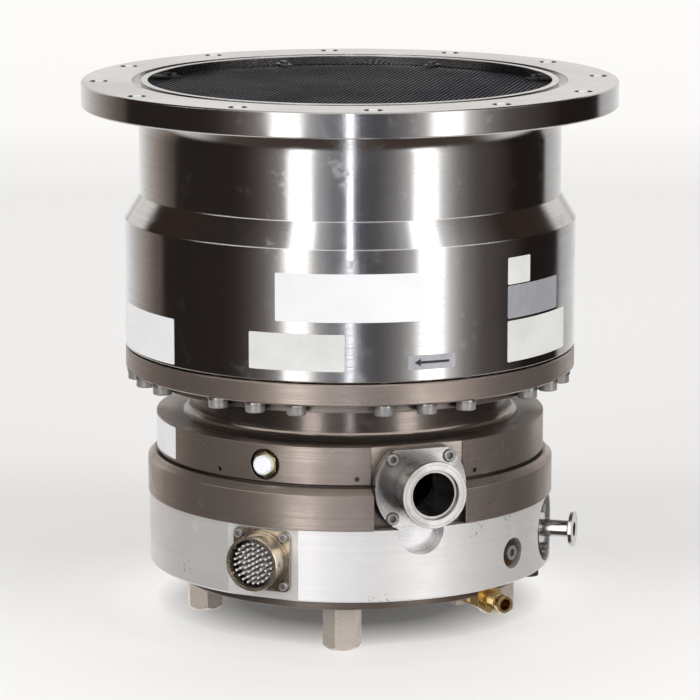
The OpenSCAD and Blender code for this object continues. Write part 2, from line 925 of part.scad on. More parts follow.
// Rings that hold the stator stages apart
module spacer_rings() {
    color(steel_c) {
        stack_slice(stator_mid(0) + stator_rim_t / 2, lip_low_z);
        for (i = [1 : stage_n - 2])
            stack_slice(stator_mid(i) + stator_rim_t / 2, stator_mid(i - 1) - stator_rim_t / 2);
        stack_slice(sleeve_flange_top_z, stator_mid(stage_n - 2) - stator_rim_t / 2);
    }
}

// One helical groove of the drag stage, as a twisted prism
module drag_groove() {
    half = 180 / groove_n * groove_share;
    low_r = land_r - 2;
    high_r = land_r + groove_depth;
    linear_extrude(
        height = casing_low_z + sleeve_flange_t - drum_low_z + 2 * cut,
        twist = groove_turn,
        slices = groove_slices,
        $fn = 6
    )
        polygon([
            for (a = [-half, half]) low_r * [cos(a), sin(a)],
            for (a = [half, half / 3, -half / 3, -half]) high_r * [cos(a), sin(a)]
        ]);
}

// Sleeve of the drag stage, with its lands close to the spinning drum
module threaded_stator() {
    color(aluminium_c)
        difference() {
            rotate_extrude()
                polygon([
                    [land_r, drum_low_z],
                    [sleeve_r_out, drum_low_z],
                    [sleeve_r_out, casing_low_z],
                    [housing_spigot_in_r - seat_gap, casing_low_z],
                    [housing_spigot_in_r - seat_gap, sleeve_flange_top_z],
                    [land_r, sleeve_flange_top_z]
                ]);
            translate([0, 0, drum_low_z - cut])
                around(groove_n)
                    drag_groove();
        }
}

// Section of the housing: flange, waist, two rings and the exhaust plenum
module housing_profile() {
    difference() {
        polygon([
            [column_r + seat_gap, joint_z],
            [lower_ring_r, joint_z],
            [lower_ring_r, lower_ring_top_z],
            [lower_ring_r - lower_ring_chamfer, groove_low_z],
            [groove_r, groove_low_z],
            [groove_r, groove_low_z + groove_h],
            [upper_ring_r - edge, groove_low_z + groove_h],
            [upper_ring_r, groove_low_z + groove_h + edge],
            [upper_ring_r, upper_ring_top_z],
            [waist_r + waist_fillet, upper_ring_top_z],
            [waist_r + waist_fillet, upper_ring_top_z + waist_fillet],
            [waist_r, upper_ring_top_z + waist_fillet],
            [waist_r, flange_low_z - flange_step_h],
            [flange_step_r, flange_low_z - flange_step_h],
            [flange_step_r, flange_low_z],
            [housing_r - edge, flange_low_z],
            [housing_r, flange_low_z + edge],
            [housing_r, flange_top_z - edge],
            [housing_r - edge, flange_top_z],
            [housing_spigot_r + seat_w, flange_top_z],
            [housing_spigot_r + seat_w, casing_low_z],
            [housing_spigot_r, casing_low_z],
            [housing_spigot_r, casing_low_z + spigot_h],
            [housing_spigot_in_r, casing_low_z + spigot_h],
            [housing_spigot_in_r, casing_low_z],
            [sleeve_r_out + seat_gap, casing_low_z],
            [sleeve_r_out + seat_gap, plenum_top_z],
            [plenum_r, plenum_top_z],
            [plenum_r, joint_z + housing_floor_t],
            [column_r + seat_gap, joint_z + housing_floor_t]
        ]);
        translate([waist_r + waist_fillet, upper_ring_top_z + waist_fillet])
            circle(r = waist_fillet);
        translate([housing_spigot_r - 3.2, casing_low_z + spigot_h / 2 - 1.6])
            square([4, 3.2]);
    }
}

module base_housing() {
    free_az = casing_bolt_az + 180 / casing_bolt_groups;
    pad_depth = lower_ring_r - exhaust_pad_r + cut;
    color(nickel_c)
        difference() {
            rotate_extrude()
                housing_profile();
            at_casing_bolts()
                translate([0, 0, flange_low_z - cut])
                    cylinder(r = casing_bolt_hole_r, h = flange_t + 2 * cut);
            around(casing_bolt_groups, free_az)
                translate([casing_bolt_circle_r, 0, flange_low_z - cut])
                    cylinder(r = casing_bolt_shank_r - 0.6, h = flange_t + 2 * cut);
            rotate([0, 0, exhaust_az])
                translate([exhaust_pad_r, -exhaust_pad_w / 2, joint_z - cut])
                    cube([pad_depth, exhaust_pad_w, upper_ring_top_z - joint_z + 2 * cut]);
            on_side(exhaust_az, exhaust_z, plenum_r - 20)
                cylinder(d = exhaust_bore_d, h = through);
            at_exhaust_screws(exhaust_pad_r - 9)
                cylinder(r = exhaust_screw_r + seat_gap, h = 9 + cut);
            on_side(vent_az, vent_z, vent_seat_r)
                cylinder(r = vent_pocket_r, h = through);
            on_side(vent_az, vent_z, vent_seat_r - 6)
                cylinder(r = vent_cap_r / 2 + seat_gap, h = 7);
            for (az = grub_azimuths)
                on_side(az, grub_z, upper_ring_r - grub_depth - grub_sink)
                    cylinder(r = grub_r + fit_gap, h = grub_depth + 3);
            around(column_screw_n)
                translate([column_screw_circle_r, 0, joint_z - cut])
                    cylinder(r = 3 + seat_gap, h = 10 + cut);
            around(base_screw_n, base_screw_az)
                translate([base_screw_circle_r, 0, joint_z - cut])
                    cylinder(r = base_screw_r + seat_gap, h = 10 + cut);
        }
}

module casing_bolts() {
    head_z = flange_low_z - casing_bolt_washer_t;
    shank = casing_bolt_washer_t + flange_t + casing_gap + casing_bolt_depth;
    color(screw_c)
        at_casing_bolts()
            translate([0, 0, head_z])
                rotate([180, 0, 0])
                    cap_screw(casing_bolt_shank_r, shank, casing_bolt_head_r, casing_bolt_head_h);
}

module casing_bolt_washers() {
    color(screw_c)
        at_casing_bolts()
            ring(
                casing_bolt_shank_r + seat_gap,
                casing_bolt_washer_r,
                flange_low_z - casing_bolt_washer_t,
                flange_low_z
            );
}

// Column that carries the motor and the magnetic bearings inside the rotor bell
module motor_column() {
    color(aluminium_c)
        difference() {
            rotate_extrude()
                polygon([
                    [column_bore_r, column_low_z],
                    [column_r, column_low_z],
                    [column_r, joint_z - column_flange_t],
                    [column_flange_r, joint_z - column_flange_t],
                    [column_flange_r, joint_z],
                    [column_r, joint_z],
                    [column_r, column_top_z],
                    [shaft_r + 4, column_top_z],
                    [shaft_r + 4, column_top_z - column_lid_t],
                    [bearing_r + fit_gap, column_top_z - column_lid_t],
                    [bearing_r + fit_gap, upper_bearing_z],
                    [column_bore_r, upper_bearing_z]
                ]);
            around(column_screw_n)
                translate([column_screw_circle_r, 0, joint_z - column_flange_t - cut])
                    cylinder(r = 3 + seat_gap, h = column_flange_t + 2 * cut);
        }
}

module column_screws() {
    color(screw_c)
        around(column_screw_n)
            translate([column_screw_circle_r, 0, joint_z - column_flange_t])
                rotate([180, 0, 0])
                    cap_screw(3, column_flange_t + 8, 5, 6);
}

// Dry ball bearing that only catches the shaft when the magnets are off
module touchdown_bearing(z) {
    pitch_r = (bearing_bore_r + bearing_r) / 2;
    race_w = (bearing_r - bearing_bore_r) / 2 - ball_r / 2;
    color(steel_c)
        translate([0, 0, z]) {
            rotate_extrude()
                for (r = [bearing_bore_r, bearing_r - race_w])
                    difference() {
                        translate([r, 0])
                            square([race_w, bearing_w]);
                        translate([pitch_r, bearing_w / 2])
                            circle(r = ball_r + ball_gap);
                    }
            around(ball_n)
                translate([pitch_r, 0, bearing_w / 2])
                    sphere(r = ball_r);
        }
}

module upper_touchdown_bearing() {
    touchdown_bearing(upper_bearing_z);
}

module lower_touchdown_bearing() {
    touchdown_bearing(lower_bearing_z);
}

// Slotted core: a ring with poles that reach in to the shaft
module slotted_core(z, len, n, pole_w) {
    slot_r = core_r - core_back;
    difference() {
        ring(core_in_r, core_r, z, z + len);
        around(n, 180 / n)
            translate([0, 0, z - cut])
                linear_extrude(len + 2 * cut)
                    intersection() {
                        circle(r = slot_r);
                        polygon([
                            [pole_w / 2 / sin(180 / n), 0],
                            slot_r * 1.2 * [cos(180 / n), sin(180 / n)]
                                + pole_w / 2 * [sin(180 / n), -cos(180 / n)],
                            slot_r * 1.2 * [cos(180 / n), -sin(180 / n)]
                                + pole_w / 2 * [sin(180 / n), cos(180 / n)]
                        ]);
                    }
    }
}

module position_sensors() {
    color(copper_c)
        for (z = [upper_sensor_z, lower_sensor_z])
            slotted_core(z, sensor_h, 4, 14);
}

module upper_radial_magnet() {
    color(core_c)
        slotted_core(upper_magnet_z, magnet_len, pole_n, 13);
}

module lower_radial_magnet() {
    color(core_c)
        slotted_core(lower_magnet_z, magnet_len, pole_n, 13);
}

// Coil round each pole of both radial magnetic bearings
module magnet_coils() {
    coil_w = 17;
    coil_len = 13;
    hole_w = 13.4;
    start_r = core_r - core_back - coil_len - 1.2;
    color(copper_c)
        for (z = [upper_magnet_z, lower_magnet_z])
            around(pole_n)
                translate([start_r, 0, z + magnet_len / 2])
                    difference() {
                        translate([0, -coil_w / 2, -magnet_len / 2 - 2])
                            cube([coil_len, coil_w, magnet_len + 4]);
                        translate([-cut, -hole_w / 2, -magnet_len / 2 - 0.2])
                            cube([coil_len + 2 * cut, hole_w, magnet_len + 0.4]);
                    }
}

module motor_stator() {
    color(core_c)
        slotted_core(motor_z, motor_len, tooth_n, 8);
}

// Motor windings: a bar in each slot, joined by a rounded end turn at both ends
module motor_windings() {
    bar_w = 5;
    in_r = core_in_r + 9;
    out_r = core_r - core_back - seat_gap;
    color(copper_c)
        union() {
            around(tooth_n, 180 / tooth_n)
                translate([in_r, -bar_w / 2, motor_z - 2])
                    cube([out_r - in_r, bar_w, motor_len + 4]);
            for (z = [motor_z - winding_reach, motor_z + motor_len + seat_gap])
                ring(in_r - 1, out_r + 1, z, z + winding_reach - seat_gap);
        }
}

// Yoke of the upper axial bearing, which also seats the lower touchdown bearing
module upper_axial_magnet() {
    seat_top = lower_sensor_z - part_gap / 2;
    color(core_c)
        rotate_extrude()
            polygon([
                [shaft_r + 4, upper_axial_z],
                [36, upper_axial_z],
                [36, upper_axial_z + 12],
                [48, upper_axial_z + 12],
                [48, upper_axial_z],
                [core_r, upper_axial_z],
                [core_r, seat_top],
                [bearing_r + fit_gap, seat_top],
                [bearing_r + fit_gap, lower_bearing_z],
                [shaft_r + 4, lower_bearing_z]
            ]);
    color(copper_c)
        ring(36.3, 47.7, upper_axial_z + 1, upper_axial_z + 11.8);
}

module lower_axial_magnet() {
    low = lower_axial_z;
    top = lower_axial_z + axial_magnet_h;
    color(core_c)
        rotate_extrude()
            polygon([
                [24, low],
                [core_r, low],
                [core_r, top],
                [48, top],
                [48, top - 12],
                [36, top - 12],
                [36, top],
                [24, top]
            ]);
    color(copper_c)
        ring(36.3, 47.7, top - 11.8, top - 1);
}

module column_end_cap() {
    color(aluminium_c)
        translate([0, 0, end_cap_z])
            cylinder(r = column_bore_r - seat_gap, h = end_cap_t);
}

// Places a child at each exhaust port screw, pointing outward
module at_exhaust_screws(r) {
    on_side(exhaust_az, exhaust_z, r)
        for (x = [-1, 1])
            for (y = [-1, 1])
                translate([x * exhaust_screw_pitch / 2, y * exhaust_screw_pitch / 2, 0])
                    children();
}

// Places a child at both ears of the purge port, pointing outward
module at_purge_screws(r) {
    on_side(purge_az, purge_z, r)
        for (s = [-1, 1])
            rotate([0, 0, purge_screw_tilt])
                translate([s * purge_screw_reach, 0, 0])
                    children();
}

// Places a child at each connector screw, pointing outward
module at_connector_screws(r) {
    on_side(connector_az, connector_z, r)
        for (x = [-1, 1])
            for (y = [-1, 1])
                translate([x * connector_screw_pitch / 2, y * connector_screw_pitch / 2, 0])
                    children();
}

module base_ring() {
    floor_z = base_low_z + base_floor_t;
    color(aluminium_c)
        difference() {
            rotate_extrude()
                polygon([
                    [base_hole_r, base_low_z],
                    [base_r - edge, base_low_z],
                    [base_r, base_low_z + edge],
                    [base_r, joint_z - edge / 2],
                    [base_r - edge / 2, joint_z],
                    [base_cavity_r, joint_z],
                    [base_cavity_r, floor_z],
                    [base_hole_r, floor_z]
                ]);
            rotate([0, 0, connector_az])
                translate([connector_pad_r, -base_r, base_low_z - cut])
                    cube([base_r, 2 * base_r, joint_z - base_low_z + 2 * cut]);
            on_side(connector_az, connector_z, base_cavity_r - 15)
                cylinder(r = connector_hole_r, h = through);
            at_connector_screws(connector_pad_r - 8)
                cylinder(r = connector_screw_r + seat_gap, h = 8 + cut);
            on_side(exhaust_az, scallop_z, exhaust_pad_r)
                cylinder(r = scallop_r, h = through);
            on_side(purge_az, purge_z, purge_seat_r)
                cylinder(r = purge_pocket_r, h = through);
            on_side(purge_az, purge_z, base_cavity_r - 15)
                cylinder(r = purge_bore_r, h = through);
            at_purge_screws(purge_seat_r - 8)
                cylinder(r = purge_screw_r + seat_gap, h = 8 + cut);
            on_side(service_az, service_z, service_seat_r)
                cylinder(r = service_pocket_r, h = through);
            on_side(service_az, service_z, service_seat_r - service_bore_depth)
                cylinder(r = service_plug_r + fit_gap, h = service_bore_depth + cut);
            rotate([0, 0, drain_az])
                translate([drain_circle_r, 0, base_low_z - cut])
                    cylinder(r = drain_hole_r, h = drain_depth + cut);
            around(base_screw_n, base_screw_az)
                translate([base_screw_circle_r, 0, base_low_z - cut])
                    cylinder(r = base_screw_r + seat_gap, h = through);
            around(base_screw_n, base_screw_az)
                translate([base_screw_circle_r, 0, base_low_z - cut])
                    cylinder(r = base_screw_head_r + 0.5, h = base_screw_head_h + base_screw_sink + cut);
            at_cover_screws(base_low_z - cut)
                cylinder(r = cover_screw_r + seat_gap, h = cover_screw_depth + 2 * cut);
            around(4, foot_az)
                translate([foot_circle / 2, 0, base_low_z - cut])
                    cylinder(r = foot_stud_r + fit_gap, h = foot_stud_len + 2 * cut);
        }
}

module base_ring_screws() {
    head_z = base_low_z + base_screw_head_h + base_screw_sink;
    color(screw_c)
        around(base_screw_n, base_screw_az)
            translate([base_screw_circle_r, 0, head_z])
                rotate([180, 0, 0])
                    cap_screw(base_screw_r, joint_z - head_z + 8, base_screw_head_r, base_screw_head_h);
}

// Places a child at each screw of the bottom cover, between the feet
module at_cover_screws(z) {
    around(cover_screw_n, foot_az + cover_screw_turn)
        translate([cover_screw_circle_r, 0, z])
            children();
}

// Plated cover under the base ring, with a slot for each water fitting
module bottom_cover() {
    slot_w = water_block_w + 2 * water_slot_gap;
    slot_len = water_back + water_block_len + water_slot_gap;
    color(nickel_c)
        difference() {
            rotate_extrude()
                polygon([
                    [0, cover_low_z],
                    [cover_r - edge, cover_low_z],
                    [cover_r, cover_low_z + edge],
                    [cover_r, base_low_z],
                    [0, base_low_z]
                ]);
            at_cover_screws(cover_low_z - cut)
                cylinder(r = cover_screw_r + seat_gap, h = cover_t + 2 * cut);
            at_cover_screws(cover_low_z - cut)
                cylinder(r = cover_screw_head_r + 0.5, h = cover_screw_head_h + cover_screw_sink + cut);
            around(4, foot_az)
                translate([foot_circle / 2, 0, cover_low_z - cut])
                    cylinder(r = foot_stud_r + 3 * seat_gap, h = cover_t + 2 * cut);
            at_nozzles()
                translate([nozzle_z - base_low_z - cut, -slot_w / 2, -slot_len])
                    cube([cover_t + 2 * cut, slot_w, slot_len + cut]);
        }
}

module bottom_cover_screws() {
    head_z = cover_low_z + cover_screw_head_h + cover_screw_sink;
    color(screw_c)
        at_cover_screws(head_z)
            rotate([180, 0, 0])
                cap_screw(
                    cover_screw_r,
                    base_low_z - head_z + cover_screw_depth,
                    cover_screw_head_r,
                    cover_screw_head_h
                );
}

// Exhaust port: a plate with two flat sides, a tube and a small-flange end
module exhaust_port() {
    len = exhaust_len;
    color(steel_c)
        on_side(exhaust_az, exhaust_z, exhaust_pad_r)
            difference() {
                union() {
                    intersection() {
                        cylinder(d = exhaust_plate_d, h = exhaust_plate_t);
                        translate([-exhaust_plate_h / 2, -exhaust_plate_d, 0])
                            cube([exhaust_plate_h, 2 * exhaust_plate_d, exhaust_plate_t]);
                    }
                    translate([0, 0, len])
                        kf_end(exhaust_flange_r, exhaust_tube_d / 2, len);
                }
                translate([0, 0, -cut])
                    cylinder(d = exhaust_bore_d, h = len + 2 * cut);
                translate([0, 0, len - exhaust_recess_depth])
                    cylinder(r = exhaust_recess_r, h = exhaust_recess_depth + cut);
                translate([0, 0, -cut])
                    ring(exhaust_tube_d / 2, exhaust_tube_d / 2 + 3.2, 0, 3.2 + cut);
                for (x = [-1, 1])
                    for (y = [-1, 1])
                        translate([x * exhaust_screw_pitch / 2, y * exhaust_screw_pitch / 2, -cut]) {
                            cylinder(r = exhaust_screw_r + seat_gap, h = through);
                            translate([0, 0, cut + exhaust_plate_t - 4])
                                cylinder(r = exhaust_screw_head_r + 0.5, h = through);
                        }
            }
}

module exhaust_port_screws() {
    color(screw_c)
        at_exhaust_screws(exhaust_pad_r + exhaust_plate_t - 4)
            cap_screw(exhaust_screw_r, 14, exhaust_screw_head_r, exhaust_screw_head_h);
}

// Oval plate with two ears, joined by the tangents of its circles
module oval_plate(core, ear, reach, t) {
    a = acos((core - ear) / reach);
    linear_extrude(t)
        union() {
            circle(r = core);
            for (s = [-1, 1])
                translate([s * reach, 0])
                    circle(r = ear);
            polygon([
                for (q = [0 : 3])
                    let(
                        sx = q < 2 ? 1 : -1,
                        sy = q == 0 || q == 3 ? -1 : 1
                    )
                    [sx * (reach + ear * cos(a)), sy * ear * sin(a)],
            ]);
            for (sx = [-1, 1])
                for (sy = [-1, 1])
                    polygon([
                        [0, 0],
                        [sx * reach, 0],
                        [sx * (reach + ear * cos(a)), sy * ear * sin(a)],
                        [sx * core * cos(a), sy * core * sin(a)]
                    ]);
        }
}

// Purge port: an oval plate, a thin tube and a small-flange end
module purge_port() {
    len = purge_len;
    color(steel_c)
        on_side(purge_az, purge_z, purge_seat_r)
            difference() {
                union() {
                    rotate([0, 0, purge_screw_tilt])
                        oval_plate(purge_flange_r, purge_ear_r, purge_screw_reach, purge_plate_t);
                    translate([0, 0, len])
                        kf_end(purge_flange_r, purge_tube_r, len);
                }
                translate([0, 0, -cut])
                    cylinder(r = purge_bore_r, h = len + 2 * cut);
                translate([0, 0, len - purge_recess_depth])
                    cylinder(r = purge_recess_r, h = purge_recess_depth + cut);
                rotate([0, 0, purge_screw_tilt])
                    for (s = [-1, 1])
                        translate([s * purge_screw_reach, 0, -cut])
                            cylinder(r = purge_screw_r + seat_gap, h = through);
            }
}

module purge_port_screws() {
    color(screw_c)
        at_purge_screws(purge_seat_r + purge_plate_t)
            cap_screw(purge_screw_r, 12, purge_screw_head_r, purge_screw_head_h);
}

module connector_shell() {
    len = connector_len;
    shell_r = connector_shell_d / 2;
    color(nickel_c)
        on_side(connector_az, connector_z, connector_pad_r)
            difference() {
                union() {
                    rounded_plate(connector_plate_w, connector_corner_r, connector_plate_t);
                    cylinder(r = connector_boss_r, h = connector_plate_t + connector_boss_h);
                    cylinder(r = shell_r, h = len);
                }
                translate([0, 0, -cut])
                    cylinder(r = shell_r - connector_wall, h = len + 2 * cut);
                for (x = [-1, 1])
                    for (y = [-1, 1])
                        translate([x * connector_screw_pitch / 2, y * connector_screw_pitch / 2, -cut])
                            cylinder(r = connector_screw_r + seat_gap, h = through);
            }
}

module connector_insert() {
    face_h = connector_len - connector_insert_depth;
    color(black_c)
        on_side(connector_az, connector_z, connector_pad_r)
            union() {
                cylinder(
                    r = connector_shell_d / 2 - connector_wall - seat_gap,
                    h = face_h - connector_face_h
                );
                cylinder(r = connector_face_r, h = face_h);
            }
}

// Contact pins on circles round the connector's middle
module connector_pins() {
    face = connector_pad_r + connector_len - connector_insert_depth;
    color(brass_c)
        on_side(connector_az, connector_z, face + seat_gap / 2) {
            cylinder(r = connector_pin_r, h = connector_pin_reach);
            for (k = [1 : connector_pin_rings])
                around(6 * k - (k > 2 ? 2 : 0))
                    translate([k * connector_pin_pitch, 0, 0])
                        cylinder(r = connector_pin_r, h = connector_pin_reach);
        }
}

module connector_screws() {
    color(screw_c)
        at_connector_screws(connector_pad_r + connector_plate_t)
            cap_screw(connector_screw_r, 9, connector_screw_head_r, connector_screw_head_h);
}

// Hexagonal foot with a stud through the cover into the base ring and a threaded hole below
module foot(k) {
    side_r = foot_af / 2;
    color(nickel_c)
        rotate([0, 0, foot_az + k * foot_names_step])
            translate([foot_circle / 2, 0, 0])
                difference() {
                    union() {
                        intersection() {
                            rotate([0, 0, 30 + foot_turn])
                                hex_bar(foot_af, cover_low_z);
                            rotate_extrude()
                                polygon([
                                    [0, 0],
                                    [side_r - 1, 0],
                                    [side_r + foot_chamfer - 1, foot_chamfer],
                                    [side_r + foot_chamfer - 1, cover_low_z],
                                    [0, cover_low_z]
                                ]);
                        }
                        translate([0, 0, cover_low_z - cut])
                            cylinder(r = foot_stud_r, h = cover_t + foot_stud_len + cut);
                    }
                    translate([0, 0, -cut])
                        cylinder(r = foot_bore_r, h = foot_bore_depth + cut);
                }
}

// Places a child along a hose nozzle's axis: tip at z = 0, running back to -z
module at_nozzles() {
    for (turn = [0, 180])
        rotate([0, 0, turn])
            translate([nozzle_x, nozzle_y, nozzle_z])
                rotate([0, 0, nozzle_az])
                    rotate([0, 90, 0])
                        children();
}

module water_blocks() {
    color(screw_c)
        at_nozzles()
            translate([
                nozzle_z - base_low_z,
                -water_block_w / 2,
                -water_back - water_block_len
            ])
                cube([base_low_z - water_block_low_z, water_block_w, water_block_len]);
}

module water_fittings() {
    color(brass_c)
        at_nozzles()
            difference() {
                union() {
                    translate([0, 0, -nozzle_len - cut])
                        cylinder(d = nozzle_d, h = nozzle_len + cut);
                    translate([0, 0, -nozzle_len - 5])
                        cylinder(d = nozzle_d + 3, h = 8);
                    translate([0, 0, -nozzle_len - nozzle_hex_len])
                        hex_bar(nozzle_hex_af, nozzle_hex_len - 3);
                    translate([0, 0, -water_back + nozzle_washer_t])
                        cylinder(r = nozzle_body_r, h = nozzle_body_len + cut);
                    translate([0, 0, -water_back])
                        cylinder(r = nozzle_washer_r, h = nozzle_washer_t);
                }
                translate([0, 0, -nozzle_len - nozzle_hex_len])
                    cylinder(r = nozzle_bore_r, h = through);
            }
}

module vent_fitting() {
    color(brass_c)
        on_side(vent_az, vent_z, vent_seat_r)
            union() {
                hex_bar(vent_hex_af, vent_hex_t);
                translate([0, 0, -5])
                    cylinder(r = vent_cap_r / 2, h = 6);
            }
}

module vent_cap() {
    color("white")
        on_side(vent_az, vent_z, vent_seat_r + vent_hex_t)
            rotate_extrude()
                polygon([
                    [0, 0],
                    [vent_cap_r, 0],
                    [vent_cap_r, vent_cap_len - 2],
                    [vent_cap_r - 2, vent_cap_len],
                    [0, vent_cap_len]
                ]);
}

module service_plug() {
    color(screw_c)
        on_side(service_az, service_z, service_seat_r - service_bore_depth + fit_gap)
            difference() {
                union() {
                    cylinder(r = service_plug_r, h = service_bore_depth + cut);
                    translate([0, 0, service_bore_depth])
                        cylinder(r = service_flange_r, h = service_flange_t);
                    translate([0, 0, service_bore_depth])
                        cylinder(r = service_head_r, h = service_head_h);
                }
                translate([0, 0, service_bore_depth + service_flange_t])
                    hex_bar(service_socket_af, service_head_h);
            }
}

module grub_screws() {
    color(screw_c)
        for (az = grub_azimuths)
            on_side(az, grub_z, upper_ring_r - grub_depth - grub_sink)
                difference() {
                    cylinder(r = grub_r, h = grub_depth);
                    translate([0, 0, grub_depth - 2])
                        hex_bar(2, 4);
                }
}

module drain_plug() {
    color(black_c)
        rotate([0, 0, drain_az])
            translate([drain_circle_r, 0, base_low_z - drain_h])
                union() {
                    cylinder(r = drain_r, h = drain_h);
                    cylinder(r = drain_hole_r - seat_gap, h = drain_h + drain_depth - 1);
                }
}

casing();
vacuum_seals();
screen_frame();
screen_mesh();
screen_screws();
rotor();
rotor_shaft();
rotor_bolts();
motor_magnet_sleeve();
bearing_sleeves();
thrust_disc();
thrust_nut();
stator_blades(0);  // stator_blades_1
stator_blades(1);  // stator_blades_2
stator_blades(2);  // stator_blades_3
stator_blades(3);  // stator_blades_4
stator_blades(4);  // stator_blades_5
stator_blades(5);  // stator_blades_6
stator_blades(6);  // stator_blades_7
spacer_rings();
threaded_stator();
base_housing();
casing_bolts();
casing_bolt_washers();
motor_column();
column_screws();
upper_touchdown_bearing();
lower_touchdown_bearing();
position_sensors();
upper_radial_magnet();
lower_radial_magnet();
magnet_coils();
motor_stator();
motor_windings();
upper_axial_magnet();
lower_axial_magnet();
column_end_cap();
base_ring();
base_ring_screws();
bottom_cover();
bottom_cover_screws();
exhaust_port();
exhaust_port_screws();
purge_port();
purge_port_screws();
connector_shell();
connector_insert();
connector_pins();
connector_screws();
foot(0);  // foot_front
foot(3);  // foot_left
foot(2);  // foot_rear
foot(1);  // foot_right
water_blocks();
water_fittings();
vent_fitting();
vent_cap();
service_plug();
grub_screws();
drain_plug();
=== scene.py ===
# %% [markdown]
# # A turbomolecular vacuum pump, dressed for its picture
#
# The solids of the pump are already exact: casing, housing, base ring, ports, screws, and inside them
# the bladed rotor, the stator rings and the motor column. This script keeps every one of those solids
# where it is and gives them their finishes, adds the thin things that a solid model leaves out, and
# sets up the studio. All lengths are in metres, +Z is up along the rotor axis, -Y is the front.

# %% Load the pump
import bpy
import bmesh
import math
from mathutils import Matrix, Vector


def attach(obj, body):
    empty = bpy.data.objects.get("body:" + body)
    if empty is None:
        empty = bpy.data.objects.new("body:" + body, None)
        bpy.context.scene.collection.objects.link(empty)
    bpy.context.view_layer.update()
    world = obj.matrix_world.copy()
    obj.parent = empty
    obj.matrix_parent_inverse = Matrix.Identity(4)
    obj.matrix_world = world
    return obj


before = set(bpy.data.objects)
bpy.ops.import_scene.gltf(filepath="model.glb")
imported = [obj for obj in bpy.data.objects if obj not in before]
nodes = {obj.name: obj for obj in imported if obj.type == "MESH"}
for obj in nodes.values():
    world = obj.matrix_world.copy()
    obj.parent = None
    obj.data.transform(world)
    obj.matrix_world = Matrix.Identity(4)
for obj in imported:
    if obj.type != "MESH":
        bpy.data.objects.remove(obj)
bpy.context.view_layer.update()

MM = 0.001

# %% [markdown]
# ## The camera
#
# The picture was taken with a long lens from a little above the inlet. Where the bolt holes and the
# three round edges of the casing fall in the picture gives the lens and the place: just under eleven
# degrees above the horizon, a bit over three metres away, looking straight along +Y.

# %% Place the camera
CAMERA_AT = (0.0, -3.1715, 0.8376)
CAMERA_DOWN_DEG = 10.91
LENS_MM = 195.6

camera_data = bpy.data.cameras.new("camera")
camera_data.lens = LENS_MM
camera_data.sensor_width = 36.0
camera_data.clip_end = 100.0
camera = bpy.data.objects.new("camera", camera_data)
camera.location = CAMERA_AT
camera.rotation_euler = (math.radians(90.0 - CAMERA_DOWN_DEG), 0.0, 0.0)
bpy.context.collection.objects.link(camera)
bpy.context.scene.camera = camera
print("camera", CAMERA_DOWN_DEG, "degrees down,", LENS_MM, "mm lens")

# %% [markdown]
# ## The studio
#
# Polished steel shows its room more than its own colour, so the room is what makes it look right.
# Behind the pump there is a white sweep. In front there is a dark room with two tall softboxes, one
# about 27 degrees to the left and one about 41 degrees to the right, and a slim bright strip straight
# ahead. The list below walks round the room from the back, past the left side, the front and the right
# side, to the back again. A round wall at an angle of 20 degrees from the front shows the shade at 40.

# %% Walk round the room
def room_grey(angle, shades):
    """Place of one shade on the walk round the room: angle 0 is straight ahead of the pump."""
    return (angle / 360.0 + 0.5, shades)


ROOM = [
    room_grey(-180, 1.00), room_grey(-155, 0.85), room_grey(-130, (0.37, 0.33, 0.30)),
    room_grey(-118, (0.17, 0.135, 0.115)), room_grey(-111, (0.11, 0.09, 0.08)),
    room_grey(-108.5, (0.024, 0.019, 0.017)), room_grey(-66, (0.026, 0.020, 0.018)),
    room_grey(-58, (0.036, 0.029, 0.027)), room_grey(-49, (0.093, 0.076, 0.070)),
    room_grey(-41, (0.20, 0.18, 0.175)), room_grey(-35, 0.36), room_grey(-32, 2.20),
    room_grey(-22, 2.40), room_grey(-19, 0.53), room_grey(-9, (0.21, 0.21, 0.235)),
    room_grey(-1.3, (0.15, 0.16, 0.19)), room_grey(-0.9, (6.2, 6.4, 6.9)), room_grey(0.9, (6.2, 6.4, 6.9)),
    room_grey(1.3, (0.10, 0.11, 0.14)), room_grey(12, (0.086, 0.086, 0.094)),
    room_grey(17, (0.125, 0.12, 0.122)), room_grey(25, 0.245), room_grey(33, 0.56), room_grey(36, 2.20),
    room_grey(46, 2.40), room_grey(50, 0.75), room_grey(59, (0.27, 0.255, 0.255)),
    room_grey(70, (0.105, 0.092, 0.09)), room_grey(100, (0.018, 0.012, 0.011)),
    room_grey(130, (0.018, 0.014, 0.014)), room_grey(134, 0.48), room_grey(180, 1.00),
]
print("room shades:", len(ROOM))

# %% [markdown]
# ## Nodes in fewer words
#
# Materials and the room are both made of nodes that feed each other. Six small helpers make a node, give
# it numbers or feed it from another node, and hand back what comes out, so that a finish reads like a
# short recipe further down.

# %% Helpers for nodes
def link_new(tree, kind, **sockets):
    """New node in a tree; each keyword is an input by name or number, given a value or a socket."""
    made = tree.nodes.new(kind)
    for key, value in sockets.items():
        place = int(key[1:]) if key[0] == "i" and key[1:].isdigit() else key.replace("_", " ")
        if isinstance(value, bpy.types.NodeSocket):
            tree.links.new(value, made.inputs[place])
        else:
            made.inputs[place].default_value = value
    return made


def maths(tree, operation, a, b=0.0):
    made = link_new(tree, "ShaderNodeMath", i0=a, i1=b)
    made.operation = operation
    return made.outputs[0]


def smooth_range(tree, value, low, high, to_low=0.0, to_high=1.0):
    made = tree.nodes.new("ShaderNodeMapRange")
    made.interpolation_type = "SMOOTHSTEP"
    tree.links.new(value, made.inputs["Value"])
    for name, number in (("From Min", low), ("From Max", high), ("To Min", to_low), ("To Max", to_high)):
        made.inputs[name].default_value = number
    return made.outputs["Result"]


